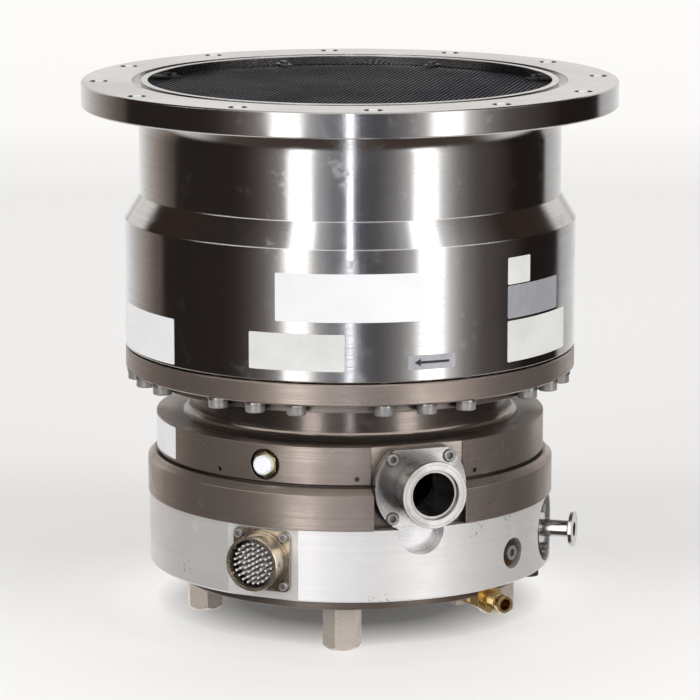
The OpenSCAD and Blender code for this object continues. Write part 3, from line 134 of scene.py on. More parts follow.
def ramp(tree, value, stops):
    """Colour ramp: stops are (place, grey or colour)."""
    made = tree.nodes.new("ShaderNodeValToRGB")
    tree.links.new(value, made.inputs["Fac"])
    elements = made.color_ramp.elements
    while len(elements) > 1:
        elements.remove(elements[-1])
    for number, (place, shade) in enumerate(stops):
        element = elements[0] if number == 0 else elements.new(place)
        element.position = place
        rgb = (shade, shade, shade) if isinstance(shade, (int, float)) else shade
        element.color = (*rgb, 1.0)
    return made.outputs["Color"]


def blend_colours(tree, fac, one, two, mode="MIX"):
    """First colour where fac is 0, second where it is 1; or their product with MULTIPLY."""
    made = link_new(tree, "ShaderNodeMixRGB", Fac=fac, Color1=one, Color2=two)
    made.blend_type = mode
    return made.outputs[0]


def from_centre(tree, x, y):
    """Distance of a point from zero, from its two coordinates."""
    squares = maths(tree, "ADD", maths(tree, "MULTIPLY", x, x), maths(tree, "MULTIPLY", y, y))
    return maths(tree, "SQRT", squares)


print("node helpers ready")

# %% [markdown]
# ## The room round the pump
#
# The room exists in reflections alone: what the camera and the soft light see is plain white. Each
# reflected ray has a direction. Its turn about the vertical picks a shade from the walk round the room,
# and its height adds the rest: the white sweep behind, the ceiling, a bright ledge that lights rounded
# edges in front, the dark sides behind the pump, and the floor, dark in front and pale at the back.

# %% Build the room
DARK_SIDE = (0.034, 0.021, 0.017, 1.0)
LEDGE = (1.9, 1.85, 1.8, 1.0)
CEILING = (0.84, 0.825, 0.80, 1.0)
FLOOR_NEAR, FLOOR_BACK = (0.075, 0.058, 0.050), (0.88, 0.87, 0.86)
world = bpy.data.worlds.new("room")
bpy.context.scene.world = world
world.use_nodes = True
wt = world.node_tree
wt.nodes.clear()
direction = wt.nodes.new("ShaderNodeTexCoord")
parts = link_new(wt, "ShaderNodeSeparateXYZ", i0=direction.outputs["Generated"])
way_x, way_y, way_z = (parts.outputs[axis] for axis in "XYZ")
ahead = maths(wt, "MULTIPLY", way_y, -1.0)
turn = maths(wt, "DIVIDE", maths(wt, "ARCTAN2", way_x, ahead), 2.0 * math.pi)
squeeze = smooth_range(wt, way_z, 0.15, 0.70, 1.0, 0.83)
around_room = ramp(wt, maths(wt, "ADD", maths(wt, "MULTIPLY", turn, squeeze), 0.5), ROOM)
behind = smooth_range(wt, way_y, 0.60, 0.72)
low_sky = smooth_range(wt, way_z, 0.00, 0.10)
high_sky = smooth_range(wt, way_z, 0.45, 0.60, 1.0, 0.0)
sweep = maths(wt, "MULTIPLY", behind, maths(wt, "MULTIPLY", low_sky, high_sky))
straight_up = smooth_range(wt, way_z, 0.86, 0.97)
overhead = maths(wt, "MAXIMUM", sweep, straight_up)
side_low = smooth_range(wt, way_z, -0.03, 0.12)
side_high = smooth_range(wt, way_z, 0.60, 0.78, 1.0, 0.0)
at_back = smooth_range(wt, way_y, -0.10, 0.15)
dark_side = maths(wt, "MULTIPLY", at_back, maths(wt, "MULTIPLY", side_low, side_high))
ledge_low = smooth_range(wt, way_z, 0.05, 0.12)
ledge_high = smooth_range(wt, way_z, 0.38, 0.50, 1.0, 0.0)
in_front = smooth_range(wt, way_y, -0.30, 0.05, 1.0, 0.0)
ledge_light = maths(wt, "MULTIPLY", in_front, maths(wt, "MULTIPLY", ledge_low, ledge_high))
underfoot = smooth_range(wt, way_z, -0.44, -0.33, 1.0, 0.0)
off_strip = smooth_range(wt, maths(wt, "ABSOLUTE", turn), 0.003, 0.006)
floor_shade = ramp(wt, smooth_range(wt, way_y, -0.25, 0.30), [(0.0, FLOOR_NEAR), (1.0, FLOOR_BACK)])
whole_room = blend_colours(wt, maths(wt, "MULTIPLY", underfoot, off_strip), around_room, floor_shade)
for reach, shade in ((dark_side, DARK_SIDE), (ledge_light, LEDGE), (overhead, CEILING)):
    whole_room = blend_colours(wt, reach, whole_room, shade)
rays = wt.nodes.new("ShaderNodeLightPath")
room_light = link_new(wt, "ShaderNodeBackground", Color=whole_room, Strength=1.0)
white_light = link_new(wt, "ShaderNodeBackground", Color=(1.0, 1.0, 1.0, 1.0), Strength=0.97)
seen_by = link_new(wt, "ShaderNodeMixShader", i0=rays.outputs["Is Glossy Ray"])
wt.links.new(white_light.outputs[0], seen_by.inputs[1])
wt.links.new(room_light.outputs[0], seen_by.inputs[2])
world_out = wt.nodes.new("ShaderNodeOutputWorld")
wt.links.new(seen_by.outputs[0], world_out.inputs["Surface"])
print("room built for reflections")

# %% [markdown]
# ## The floor
#
# The floor is one large pale sheet. Its colour is painted a little greyer behind the pump and pale again
# far off, a painted fall of light as on a lit sheet of paper. The base stands on feet, so hardly any light
# gets in below it. That dark pool is a painted shadow, laid into the sheet's colour by the distance from
# the pump, a little further back than the pump itself, because most of the light comes from the front.
# Half of the sheet's brightness is its own glow, so that the lamps don't have to be strong enough to burn
# out the metal.

# %% Lay the floor
floor_mesh = bpy.data.meshes.new("floor")
FLOOR_REACH = 16.0
floor_mesh.from_pydata(
    [(-FLOOR_REACH, -6, 0), (FLOOR_REACH, -6, 0), (FLOOR_REACH, 40, 0), (-FLOOR_REACH, 40, 0)],
    [], [(0, 1, 2, 3)],
)
floor = bpy.data.objects.new("floor", floor_mesh)
bpy.context.collection.objects.link(floor)
floor_finish = bpy.data.materials.new("floor_white")
floor_finish.use_nodes = True
floor_shader = floor_finish.node_tree.nodes["Principled BSDF"]
ft = floor_finish.node_tree
floor_place = link_new(ft, "ShaderNodeSeparateXYZ", i0=ft.nodes.new("ShaderNodeTexCoord").outputs["Object"])
# painted shade: the floor's colour greys behind the pump and pales again far off
FLOOR_PAINTED_FADE = [
    # distance behind the pump in metres, shade
    (-0.27, 0.83), (-0.12, 0.83), (0.05, 0.78), (0.22, 0.68), (0.42, 0.67), (0.60, 0.73), (1.50, 0.775),
    (2.40, 0.80), (3.20, 0.95), (5.30, 0.99),
]
reach_back = maths(ft, "DIVIDE", maths(ft, "ADD", floor_place.outputs["Y"], 1.0), 7.0)
floor_grey = ramp(ft, reach_back, [((at + 1.0) / 7.0, (g, g * 0.997, g * 0.99)) for at, g in FLOOR_PAINTED_FADE])
# painted shadow: the floor's colour is darker in a pool under the pump
UNDER_PUMP_PAINTED_SHADOW = [
    # distance from the middle of the pool in metres, part of the light that is left
    (0.0, 0.20), (0.097, 0.28), (0.128, 0.66), (0.170, 1.22), (0.22, 1.06), (0.28, 1.0),
]
POOL_BACK = 0.0475
POOL_REACH = 0.4
off_back = maths(ft, "SUBTRACT", floor_place.outputs["Y"], POOL_BACK)
off_pump = from_centre(ft, floor_place.outputs["X"], off_back)
painted_pool_shadow = ramp(
    ft, maths(ft, "DIVIDE", off_pump, POOL_REACH),
    [(at / POOL_REACH, (g, g * 0.99, g * 0.98)) for at, g in UNDER_PUMP_PAINTED_SHADOW],
)
floor_grey = blend_colours(ft, 1.0, floor_grey, painted_pool_shadow, "MULTIPLY")
FLOOR_GLOW = 0.5
lit_part = 1.0 - FLOOR_GLOW
floor_lit = blend_colours(ft, 1.0, floor_grey, (lit_part, lit_part, lit_part, 1.0), "MULTIPLY")
ft.links.new(floor_lit, floor_shader.inputs["Base Color"])
ft.links.new(floor_grey, floor_shader.inputs["Emission Color"])
floor_shader.inputs["Emission Strength"].default_value = FLOOR_GLOW
floor_shader.inputs["Roughness"].default_value = 0.6
floor_shader.inputs["Specular IOR Level"].default_value = 0.15
floor_mesh.materials.append(floor_finish)
floor.visible_glossy = False
print("floor laid:", 2 * FLOOR_REACH, "metres wide")

# %% [markdown]
# ## The lamps
#
# Three large softboxes light the pump: one from the front left, one from the front right and one from
# above. They are large and weak, so shadows are soft. Reflections don't see them; the room above has
# its own softboxes at the right angles, where they make clean tall highlights.

# %% Hang the softboxes
LAMPS_AIM_AT = Vector((0, 0, 0.22))


def softbox(name, at, size, watts):
    data = bpy.data.lights.new(name, "AREA")
    data.shape = "RECTANGLE"
    data.size, data.size_y = size
    data.energy = watts
    lamp = bpy.data.objects.new(name, data)
    lamp.location = at
    lamp.rotation_euler = (LAMPS_AIM_AT - Vector(at)).to_track_quat("-Z", "Y").to_euler()
    lamp.visible_glossy = False
    bpy.context.collection.objects.link(lamp)
    return lamp


softbox("softbox_left", (-1.6, -2.2, 1.5), (1.0, 1.4), 22.0)
softbox("softbox_right", (1.9, -1.7, 1.3), (1.0, 1.4), 24.0)
softbox("softbox_top", (0.0, 0.4, 2.4), (1.8, 1.8), 16.0)
bpy.context.scene.view_settings.view_transform = "Standard"
print("softboxes hung")

# %% [markdown]
# ## Noise and the way of the tool
#
# A turned part is covered with fine rings left by the lathe tool. The pump has several parts that are
# turned about their own axis, such as the ports, and that axis points outward from the pump. For these
# the distance from that axis tells one ring from the next, and the direction round it is the way that
# the tool went. A plain noise, squeezed or stretched, gives everything that is uneven.

# %% Noise and turned faces
def finish(name):
    made = bpy.data.materials.new(name)
    made.use_nodes = True
    tree = made.node_tree
    return made, tree, tree.nodes["Principled BSDF"]


def noise(tree, coords, scale, detail=4.0, rough=0.55, stretch=(1, 1, 1), spin=(0, 0, 0)):
    placed = link_new(tree, "ShaderNodeMapping", Vector=coords)
    placed.inputs["Scale"].default_value = stretch
    placed.inputs["Rotation"].default_value = spin
    return link_new(
        tree, "ShaderNodeTexNoise", Vector=placed.outputs[0], Scale=scale, Detail=detail, Roughness=rough
    ).outputs["Fac"]


def vector_maths(tree, operation, a, b=(0.0, 0.0, 0.0)):
    made = link_new(tree, "ShaderNodeVectorMath", i0=a, i1=b)
    made.operation = operation
    return made


def turned_place(tree, coords, azimuth_deg, height):
    """For a part turned about an axis that points outward at this azimuth and height: the distance from
    that axis, the distance along it, and the direction of the tool round it."""
    a = math.radians(azimuth_deg)
    outward_axis = (math.cos(a), math.sin(a), 0.0)
    raised = vector_maths(tree, "SUBTRACT", coords, (0.0, 0.0, height)).outputs[0]
    round_axis = vector_maths(tree, "CROSS_PRODUCT", raised, outward_axis).outputs[0]
    distance = vector_maths(tree, "LENGTH", round_axis).outputs["Value"]
    depth = vector_maths(tree, "DOT_PRODUCT", coords, outward_axis).outputs["Value"]
    return distance, depth, vector_maths(tree, "NORMALIZE", round_axis).outputs[0]


print("noise and turned faces ready")

# %% [markdown]
# ## How a machined metal is made
#
# The rings show as thin bright and dark lines, and they smear each reflection across themselves. Over
# them lie larger soft patches where hands and cloths have been and a few tiny dull specks, and painted
# shade darkens the corners where little light gets in. One function makes all the metals of the pump from
# these things. The lines are a noise that is stretched along the turning direction and squeezed across
# it. A small rounding in the shading softens every edge, as a deburring file does.

# %% Make a metal
def metal(
    name, colour, patch_colour, rough, rough_patch, lines=0.5, stretch=(3, 3, 900), spin=(0, 0, 0),
    patch_scale=9.0, anisotropy=0.0, edge=0.0004, specks=0.25, bump=0.10, metallic=1.0, turned_about=None,
    corner_shade=0.0, corner_shade_reach=0.02,
):
    """Machined metal: turning lines, soft patches, specks and painted shade in corners over a plain metal."""
    made, tree, shader = finish(name)
    coords = tree.nodes.new("ShaderNodeTexCoord").outputs["Object"]
    if turned_about:
        distance, depth, tool_way = turned_place(tree, coords, *turned_about)
        ring_place = link_new(tree, "ShaderNodeCombineXYZ", i0=distance, i1=depth)
        line = noise(tree, ring_place.outputs[0], 900.0, 5.0, 0.7)
        tree.links.new(tool_way, shader.inputs["Tangent"])
    else:
        line = noise(tree, coords, 1.0, 5.0, 0.7, stretch, spin)
    patch = smooth_range(tree, noise(tree, coords, patch_scale, 6.0, 0.6), 0.38, 0.66)
    speck = smooth_range(tree, noise(tree, coords, 420.0, 2.0, 0.5), 0.60, 0.68)
    speck_field = smooth_range(tree, noise(tree, coords, 22.0, 2.0, 0.5), 0.60, 0.68)
    base = blend_colours(tree, patch, (*colour, 1.0), (*patch_colour, 1.0))
    line_tint = smooth_range(tree, line, 0.35, 0.70, 1.0, 1.0 - 0.22 * lines)
    tinted = blend_colours(tree, 1.0, base, line_tint, "MULTIPLY")
    speck_fac = maths(tree, "MULTIPLY", maths(tree, "MULTIPLY", speck, speck_field), specks)
    dark = tuple(c * 0.40 for c in patch_colour)
    marked = blend_colours(tree, speck_fac, tinted, (*dark, 1.0))
    # painted shade: the colour is darker where the surface is closed in, in corners and under overhangs
    if corner_shade:
        corners = tree.nodes.new("ShaderNodeAmbientOcclusion")
        corners.samples = 6
        corners.inputs["Distance"].default_value = corner_shade_reach
        shade = smooth_range(tree, corners.outputs["AO"], 0.25, 0.92, 1.0 - corner_shade, 1.0)
        marked = blend_colours(tree, 1.0, marked, shade, "MULTIPLY")
    tree.links.new(marked, shader.inputs["Base Color"])
    patch_rough = smooth_range(tree, patch, 0.0, 1.0, rough, rough_patch)
    line_rough = smooth_range(tree, line, 0.3, 0.7, -0.05 * lines, 0.06 * lines)
    smudge = smooth_range(tree, noise(tree, coords, 55.0, 5.0, 0.65), 0.58, 0.72, 0.0, 0.10)
    total_rough = maths(tree, "ADD", maths(tree, "ADD", patch_rough, line_rough), smudge)
    tree.links.new(total_rough, shader.inputs["Roughness"])
    shader.inputs["Metallic"].default_value = metallic
    shader.inputs["Anisotropic"].default_value = anisotropy
    if turned_about:
        # light is smeared across the tool lines, a quarter turn from the way the tool went
        shader.inputs["Anisotropic Rotation"].default_value = 0.25
    elif anisotropy:
        around_axis = tree.nodes.new("ShaderNodeTangent")
        around_axis.direction_type = "RADIAL"
        around_axis.axis = "Z"
        tree.links.new(around_axis.outputs[0], shader.inputs["Tangent"])
    raised = link_new(tree, "ShaderNodeBump", Height=line, Strength=bump, Distance=0.00012)
    if edge:
        rounded = link_new(tree, "ShaderNodeBevel", Radius=edge)
        rounded.samples = 4
        tree.links.new(rounded.outputs[0], raised.inputs["Normal"])
    tree.links.new(raised.outputs[0], shader.inputs["Normal"])
    return made


print("one function makes the metals")

# %% [markdown]
# ## Coats and plastics
#
# Black plastic, rubber, the white cap and the stuck-on plates are no metals. They have two close colours
# in soft patches and a fine grain, and they reflect little.

# %% Make a coat
def coat(name, colour, second, rough, scale=60.0, bump=0.05, specular=0.5):
    """Paint, rubber or plastic: two close colours in soft patches, with a fine grain."""
    made, tree, shader = finish(name)
    coords = tree.nodes.new("ShaderNodeTexCoord").outputs["Object"]
    patch = smooth_range(tree, noise(tree, coords, scale, 5.0), 0.35, 0.70)
    fine = noise(tree, coords, 400.0, 3.0)
    mixed = blend_colours(tree, patch, (*colour, 1.0), (*second, 1.0))
    tree.links.new(mixed, shader.inputs["Base Color"])
    tree.links.new(smooth_range(tree, fine, 0.3, 0.7, rough - 0.06, rough + 0.08), shader.inputs["Roughness"])
    shader.inputs["Specular IOR Level"].default_value = specular
    raised = link_new(tree, "ShaderNodeBump", Height=fine, Strength=bump, Distance=0.0002)
    tree.links.new(raised.outputs[0], shader.inputs["Normal"])
    return made


print("one function makes the coats")

# %% [markdown]
# ## The four large metals
#
# The casing is bright stainless steel. The housing is plated with nickel, rougher and brown. The base
# ring is pale aluminium, and the feet are nickel again, paler. The azimuths and heights of the ports are
# kept here too, because their finishes turn about them.

# %% Mix the large metals
EXHAUST_AZ, EXHAUST_Z = -70.0, 0.1433
PURGE_AZ, PURGE_Z = -13.5, 0.081
CONNECTOR_AZ, CONNECTOR_Z = -115.0, 0.082
VENT_AZ, VENT_Z = -115.0, 0.1603
SERVICE_AZ, SERVICE_Z = -37.7, 0.075
NOZZLE_AZ = -60.0

casing_steel = metal(
    "casing_steel", (0.71, 0.695, 0.685), (0.62, 0.60, 0.58), 0.085, 0.135, lines=0.45,
    stretch=(2, 2, 1100), patch_scale=7.0, anisotropy=0.6, bump=0.07, edge=0.0010,
)
housing_nickel = metal(
    "housing_nickel", (0.48, 0.405, 0.36), (0.40, 0.33, 0.29), 0.28, 0.34, lines=0.55,
    stretch=(3, 3, 800), patch_scale=12.0, anisotropy=0.45, bump=0.06, edge=0.0009, metallic=0.88,
    corner_shade=0.85, corner_shade_reach=0.035,
)
base_aluminium = metal(
    "base_aluminium", (0.955, 0.945, 0.94), (0.89, 0.87, 0.85), 0.36, 0.44, lines=0.25,
    stretch=(3, 3, 900), patch_scale=10.0, anisotropy=0.5, bump=0.06, edge=0.0008, metallic=0.70,
    specks=0.8, corner_shade=0.25,
)
foot_nickel = metal(
    "foot_nickel", (0.84, 0.755, 0.675), (0.73, 0.65, 0.575), 0.26, 0.36, lines=0.4,
    stretch=(60, 60, 60), patch_scale=40.0, bump=0.06, metallic=0.62,
)
print("large metals mixed")

# %% [markdown]
# ## Drill walls and the hollow under the flange
#
# The flange's bolt holes are drilled and not polished, so their walls are dull. Their colour is painted:
# light where the wall faces the front and dark at both sides, a painted highlight and painted shade. Under
# the flange the neck runs out in a small hollow curve left by the round nose of the turning tool. It bends
# the reflections down to the dark floor in front, so the tall highlights end just below the flange. Both
# are made in the casing's finish.

# %% Drill walls and the hollow under the flange
BOLT_HOLES = 12
FIRST_HOLE_DEG = 5.0
HOLE_CIRCLE_R = 0.210
HOLE_R = 0.0076
FLANGE_LOW = 0.437
HOLLOW_LOW = 0.4163
NECK_R = 0.1773
HOLLOW_CURVE = 12.0


def replace_input(tree, shader, name, build):
    """Puts new nodes between a shader's input and whatever feeds it now."""
    source = shader.inputs[name].links[0].from_socket
    tree.links.new(build(source), shader.inputs[name])


ct = casing_steel.node_tree
casing_shader = ct.nodes["Principled BSDF"]
casing_place = link_new(ct, "ShaderNodeSeparateXYZ", i0=ct.nodes.new("ShaderNodeTexCoord").outputs["Object"])
px, py, pz = (casing_place.outputs[axis] for axis in "XYZ")
from_axis = from_centre(ct, px, py)
turned = maths(ct, "SUBTRACT", maths(ct, "ARCTAN2", py, px), math.radians(FIRST_HOLE_DEG))
folded = maths(ct, "PINGPONG", turned, math.pi / BOLT_HOLES)
across = maths(ct, "MULTIPLY", from_axis, maths(ct, "SINE", folded))
along = maths(ct, "SUBTRACT", maths(ct, "MULTIPLY", from_axis, maths(ct, "COSINE", folded)), HOLE_CIRCLE_R)
to_hole = from_centre(ct, across, along)
in_hole = maths(
    ct, "MULTIPLY", maths(ct, "LESS_THAN", to_hole, HOLE_R), maths(ct, "GREATER_THAN", pz, FLANGE_LOW - 0.001)
)
casing_geometry = ct.nodes.new("ShaderNodeNewGeometry")
wall_normal = link_new(ct, "ShaderNodeSeparateXYZ", i0=casing_geometry.outputs["Normal"])
# painted highlight and painted shade: hole walls facing the front are light, the rest dark
to_front = smooth_range(ct, maths(ct, "MULTIPLY", wall_normal.outputs["Y"], -1.0), 0.80, 0.95)
hole_wall_painted_light = ramp(ct, to_front, [(0.0, 0.02), (1.0, 0.95)])
replace_input(ct, casing_shader, "Base Color", lambda fed: blend_colours(ct, in_hole, fed, hole_wall_painted_light))
replace_input(
    ct, casing_shader, "Roughness", lambda fed: maths(ct, "ADD", fed, maths(ct, "MULTIPLY", in_hole, 0.4))
)
not_hole = smooth_range(ct, in_hole, 0.0, 1.0, 1.0, 0.1)
ct.links.new(not_hole, casing_shader.inputs["Metallic"])

on_neck = maths(
    ct, "MULTIPLY", maths(ct, "LESS_THAN", from_axis, NECK_R + 0.002), maths(ct, "LESS_THAN", pz, FLANGE_LOW)
)
climb = maths(ct, "MAXIMUM", maths(ct, "SUBTRACT", pz, HOLLOW_LOW), 0.0)
hollow_rise = maths(ct, "MULTIPLY", maths(ct, "MULTIPLY", climb, climb), HOLLOW_CURVE)
hollow_height = maths(ct, "MULTIPLY", on_neck, hollow_rise)
hollow = link_new(ct, "ShaderNodeBump", Height=hollow_height, Strength=1.0, Distance=1.0)
line_bump = casing_shader.inputs["Normal"].links[0].from_node
ct.links.new(line_bump.inputs["Normal"].links[0].from_socket, hollow.inputs["Normal"])
ct.links.new(hollow.outputs[0], line_bump.inputs["Normal"])
print("hole walls and the hollow under the flange are in the casing's finish")

# %% [markdown]
# ## Pockets in the base ring
#
# The base ring is turned, but the pockets for the exhaust flange, the purge port and the service plug
# are cut in by an end mill that goes round and round. Their floors are shinier than the ring and show
# bright streaks that meet in the middle, and their colour is painted darker as shade. Inside each pocket
# the finish changes to that.

# %% Mill the pockets
RING_FACE_R = 0.1706
POCKETS = [
    # azimuth, height, radius of the pocket
    (EXHAUST_AZ, 0.107, 0.0198), (PURGE_AZ, PURGE_Z, 0.0283), (SERVICE_AZ, SERVICE_Z, 0.0133),
]
# painted shade: the pocket floors get a darker colour than the ring
POCKET_PAINTED_SHADE = (0.62, 0.61, 0.61, 1.0)
NEAR_SIDE = 0.10
SMOOTHER = 0.16
QUARTER_TURN = 0.25


def axis_distance(tree, coords):
    """Distance of the surface from the rotor axis."""
    flat = vector_maths(tree, "MULTIPLY", coords, (1.0, 1.0, 0.0)).outputs[0]
    return vector_maths(tree, "LENGTH", flat).outputs["Value"]


bt = base_aluminium.node_tree
base_shader = bt.nodes["Principled BSDF"]
base_coords = bt.nodes.new("ShaderNodeTexCoord").outputs["Object"]
below_face = maths(bt, "LESS_THAN", axis_distance(bt, base_coords), RING_FACE_R)
milled = 0.0
for azimuth, height, radius in POCKETS:
    distance, depth, tool_way = turned_place(bt, base_coords, azimuth, height)
    in_pocket = maths(bt, "MULTIPLY", maths(bt, "LESS_THAN", distance, radius), below_face)
    in_pocket = maths(bt, "MULTIPLY", in_pocket, maths(bt, "GREATER_THAN", depth, NEAR_SIDE))
    milled = maths(bt, "ADD", milled, in_pocket)
    replace_input(bt, base_shader, "Tangent", lambda fed: blend_colours(bt, in_pocket, fed, tool_way))
    replace_input(
        bt, base_shader, "Roughness",
        lambda fed: maths(bt, "SUBTRACT", fed, maths(bt, "MULTIPLY", in_pocket, SMOOTHER)),
    )
    replace_input(bt, base_shader, "Base Color", lambda fed: blend_colours(bt, in_pocket, fed, POCKET_PAINTED_SHADE))
bt.links.new(maths(bt, "MULTIPLY", milled, QUARTER_TURN), base_shader.inputs["Anisotropic Rotation"])
print("pockets milled:", len(POCKETS))

# %% [markdown]
# ## The waist of the housing
#
# Between the flange and the upper ring the housing narrows to a waist with a hollow curve below it. The
# tool took finer cuts there, so the waist is smoother than the rings and darker, as it reflects the dark
# room between the bolts.

# %% Polish the waist
WAIST_LOW, WAIST_HIGH, WAIST_R = 0.1772, 0.2155, 0.150
WAIST_SMOOTHER = 0.14
ht = housing_nickel.node_tree
housing_shader = ht.nodes["Principled BSDF"]
housing_coords = ht.nodes.new("ShaderNodeTexCoord").outputs["Object"]
housing_r = axis_distance(ht, housing_coords)
housing_z = link_new(ht, "ShaderNodeSeparateXYZ", i0=housing_coords).outputs["Z"]
over_low = maths(ht, "GREATER_THAN", housing_z, WAIST_LOW)
under_high = maths(ht, "LESS_THAN", housing_z, WAIST_HIGH)
in_waist = maths(ht, "MULTIPLY", over_low, under_high)
in_waist = maths(ht, "MULTIPLY", in_waist, maths(ht, "LESS_THAN", housing_r, WAIST_R))
finer_cut = maths(ht, "MULTIPLY", in_waist, WAIST_SMOOTHER)
replace_input(ht, housing_shader, "Roughness", lambda fed: maths(ht, "SUBTRACT", fed, finer_cut))
print("waist polished")

# %% [markdown]
# ## Metals of the small parts
#
# The exhaust port, the purge port, the connector, the vent fitting and the service plug's copper seal are
# each turned about their own axis, so their rings run round that axis. Bolts are plain steel with a dull
# skin and painted shade round the heads. The bottom cover is plated like the housing and sits in the shade
# under the pump: its finish is duller, and its colour is a darker copy of the housing's, painted shade.

# %% Mix the small metals
port_steel = metal(
    "port_steel", (0.47, 0.45, 0.435), (0.39, 0.375, 0.36), 0.21, 0.28, lines=0.6, anisotropy=0.85,
    patch_scale=30.0, turned_about=(EXHAUST_AZ, EXHAUST_Z), corner_shade=0.5,
)
purge_steel = metal(
    "purge_steel", (0.72, 0.705, 0.69), (0.60, 0.58, 0.56), 0.12, 0.20, lines=0.5, anisotropy=0.6,
    patch_scale=45.0, turned_about=(PURGE_AZ, PURGE_Z), corner_shade=0.5,
)
shell_nickel = metal(
    "shell_nickel", (0.74, 0.66, 0.54), (0.60, 0.52, 0.42), 0.20, 0.30, lines=0.5, anisotropy=0.5,
    patch_scale=60.0, turned_about=(CONNECTOR_AZ, CONNECTOR_Z), corner_shade=0.7, corner_shade_reach=0.008,
)
fitting_brass = metal(
    "fitting_brass", (0.80, 0.60, 0.27), (0.62, 0.42, 0.18), 0.20, 0.32, lines=0.7,
    stretch=(900, 5, 5), spin=(0, 0, math.radians(-NOZZLE_AZ)), patch_scale=60.0,
)
vent_brass = metal(
    "vent_brass", (0.76, 0.60, 0.33), (0.58, 0.44, 0.24), 0.24, 0.34, lines=0.6,
    patch_scale=70.0, turned_about=(VENT_AZ, VENT_Z), corner_shade=0.5,
)
seal_copper = metal(
    "seal_copper", (0.42, 0.27, 0.16), (0.30, 0.19, 0.12), 0.30, 0.42, lines=0.5, patch_scale=120.0,
    turned_about=(SERVICE_AZ, SERVICE_Z), edge=0.0, corner_shade=0.5, corner_shade_reach=0.004,
)
# painted shade: the housing's nickel made darker for the cover that sits in the shade under the pump
cover_nickel_painted_shade = metal(
    "cover_nickel_painted_shade", (0.25, 0.205, 0.175), (0.18, 0.145, 0.12), 0.36, 0.44, lines=0.4,
    stretch=(3, 3, 800), patch_scale=12.0, anisotropy=0.45, bump=0.06, edge=0.0008, metallic=0.90,
    corner_shade=0.6, corner_shade_reach=0.02,
)
bolt_steel = metal(
    "bolt_steel", (0.40, 0.39, 0.38), (0.31, 0.30, 0.29), 0.36, 0.46, lines=0.3,
    stretch=(300, 300, 300), patch_scale=55.0, specks=0.5, bump=0.08, edge=0.0010, metallic=0.6,
    corner_shade=0.5, corner_shade_reach=0.012,
)
washer_steel = metal(
    "washer_steel", (0.60, 0.59, 0.58), (0.46, 0.45, 0.44), 0.30, 0.44, lines=0.5,
    stretch=(200, 200, 200), patch_scale=70.0, edge=0.0002,
)
clip_steel = metal(
    "clip_steel", (0.14, 0.14, 0.15), (0.09, 0.09, 0.10), 0.30, 0.44, lines=0.5,
    stretch=(300, 300, 300), patch_scale=55.0, edge=0.0004,
)
pin_gold = metal(
    "pin_gold", (0.97, 0.95, 0.92), (0.90, 0.86, 0.78), 0.30, 0.40, lines=0.3,
    stretch=(300, 300, 300), patch_scale=120.0, edge=0.0, metallic=0.35,
)
print("small metals mixed")

# %% [markdown]
# ## Screen, plastics and rubber
#
# The screen's ring is painted black and its wire is steel that has gone dark. The wires' flanks are a
# painted shade: a finish that asks which way the surface looks keeps the upper sides in the wire's colour
# and paints the flanks black. The connector's insert, the seals and the vent's cap are plastic or rubber.

# %% Mix screen, plastics and rubber
screen_black = coat(
    "screen_black", (0.012, 0.012, 0.016), (0.021, 0.021, 0.027), 0.60, scale=35.0, specular=0.10,
)
wire_steel = metal(
    "wire_steel", (0.27, 0.26, 0.31), (0.19, 0.185, 0.23), 0.40, 0.50, lines=0.3,
    stretch=(60, 60, 60), patch_scale=12.0, bump=0.05, edge=0.0,
)
insert_black = coat("insert_black", (0.060, 0.056, 0.072), (0.10, 0.092, 0.112), 0.34, scale=160.0)
seal_black = coat("seal_black", (0.016, 0.016, 0.016), (0.028, 0.027, 0.026), 0.45, scale=90.0, bump=0.12)
cap_white = coat("cap_white", (0.86, 0.87, 0.90), (0.78, 0.80, 0.84), 0.28, scale=80.0)
# painted shade: the flanks of the wires are nearly black, their upper sides keep the wire's colour
WIRE_FLANK_PAINTED_SHADE = (0.010, 0.010, 0.014, 1.0)
wire_tree = wire_steel.node_tree
wire_geometry = wire_tree.nodes.new("ShaderNodeNewGeometry")
wire_normal = link_new(wire_tree, "ShaderNodeSeparateXYZ", i0=wire_geometry.outputs["Normal"])
upper_side = smooth_range(wire_tree, wire_normal.outputs["Z"], 0.5, 0.9)
replace_input(
    wire_tree, wire_tree.nodes["Principled BSDF"], "Base Color",
    lambda fed: blend_colours(wire_tree, upper_side, WIRE_FLANK_PAINTED_SHADE, fed),
)
print("screen, plastics and rubber mixed")

# %% [markdown]
# ## Dress the outside
#
# Each finish now goes on its solids. A finish is put in the solid's material slot and nothing is moved:
# the solids are exact and stay as they are.

# %% Dress the outside
def dress(material, *names):
    for name in names:
        slots = nodes[name].material_slots
        if not slots:
            nodes[name].data.materials.append(material)
        for slot in slots:
            slot.material = material


dress(casing_steel, "casing")
dress(housing_nickel, "base_housing")
dress(base_aluminium, "base_ring")
dress(cover_nickel_painted_shade, "bottom_cover")
dress(foot_nickel, "foot_front", "foot_left", "foot_rear", "foot_right")
dress(port_steel, "exhaust_port")
dress(purge_steel, "purge_port")
dress(shell_nickel, "connector_shell")
dress(fitting_brass, "water_fittings")
dress(vent_brass, "vent_fitting")
dress(
    bolt_steel, "casing_bolts", "exhaust_port_screws", "purge_port_screws", "connector_screws",
    "base_ring_screws", "bottom_cover_screws", "service_plug",
)
dress(clip_steel, "screen_screws", "grub_screws")
dress(foot_nickel, "water_blocks")
dress(washer_steel, "casing_bolt_washers")
dress(screen_black, "screen_frame")
dress(wire_steel, "screen_mesh")
dress(insert_black, "connector_insert")
dress(seal_black, "vacuum_seals", "drain_plug")
dress(cap_white, "vent_cap")
dress(pin_gold, "connector_pins")
print("outside dressed")
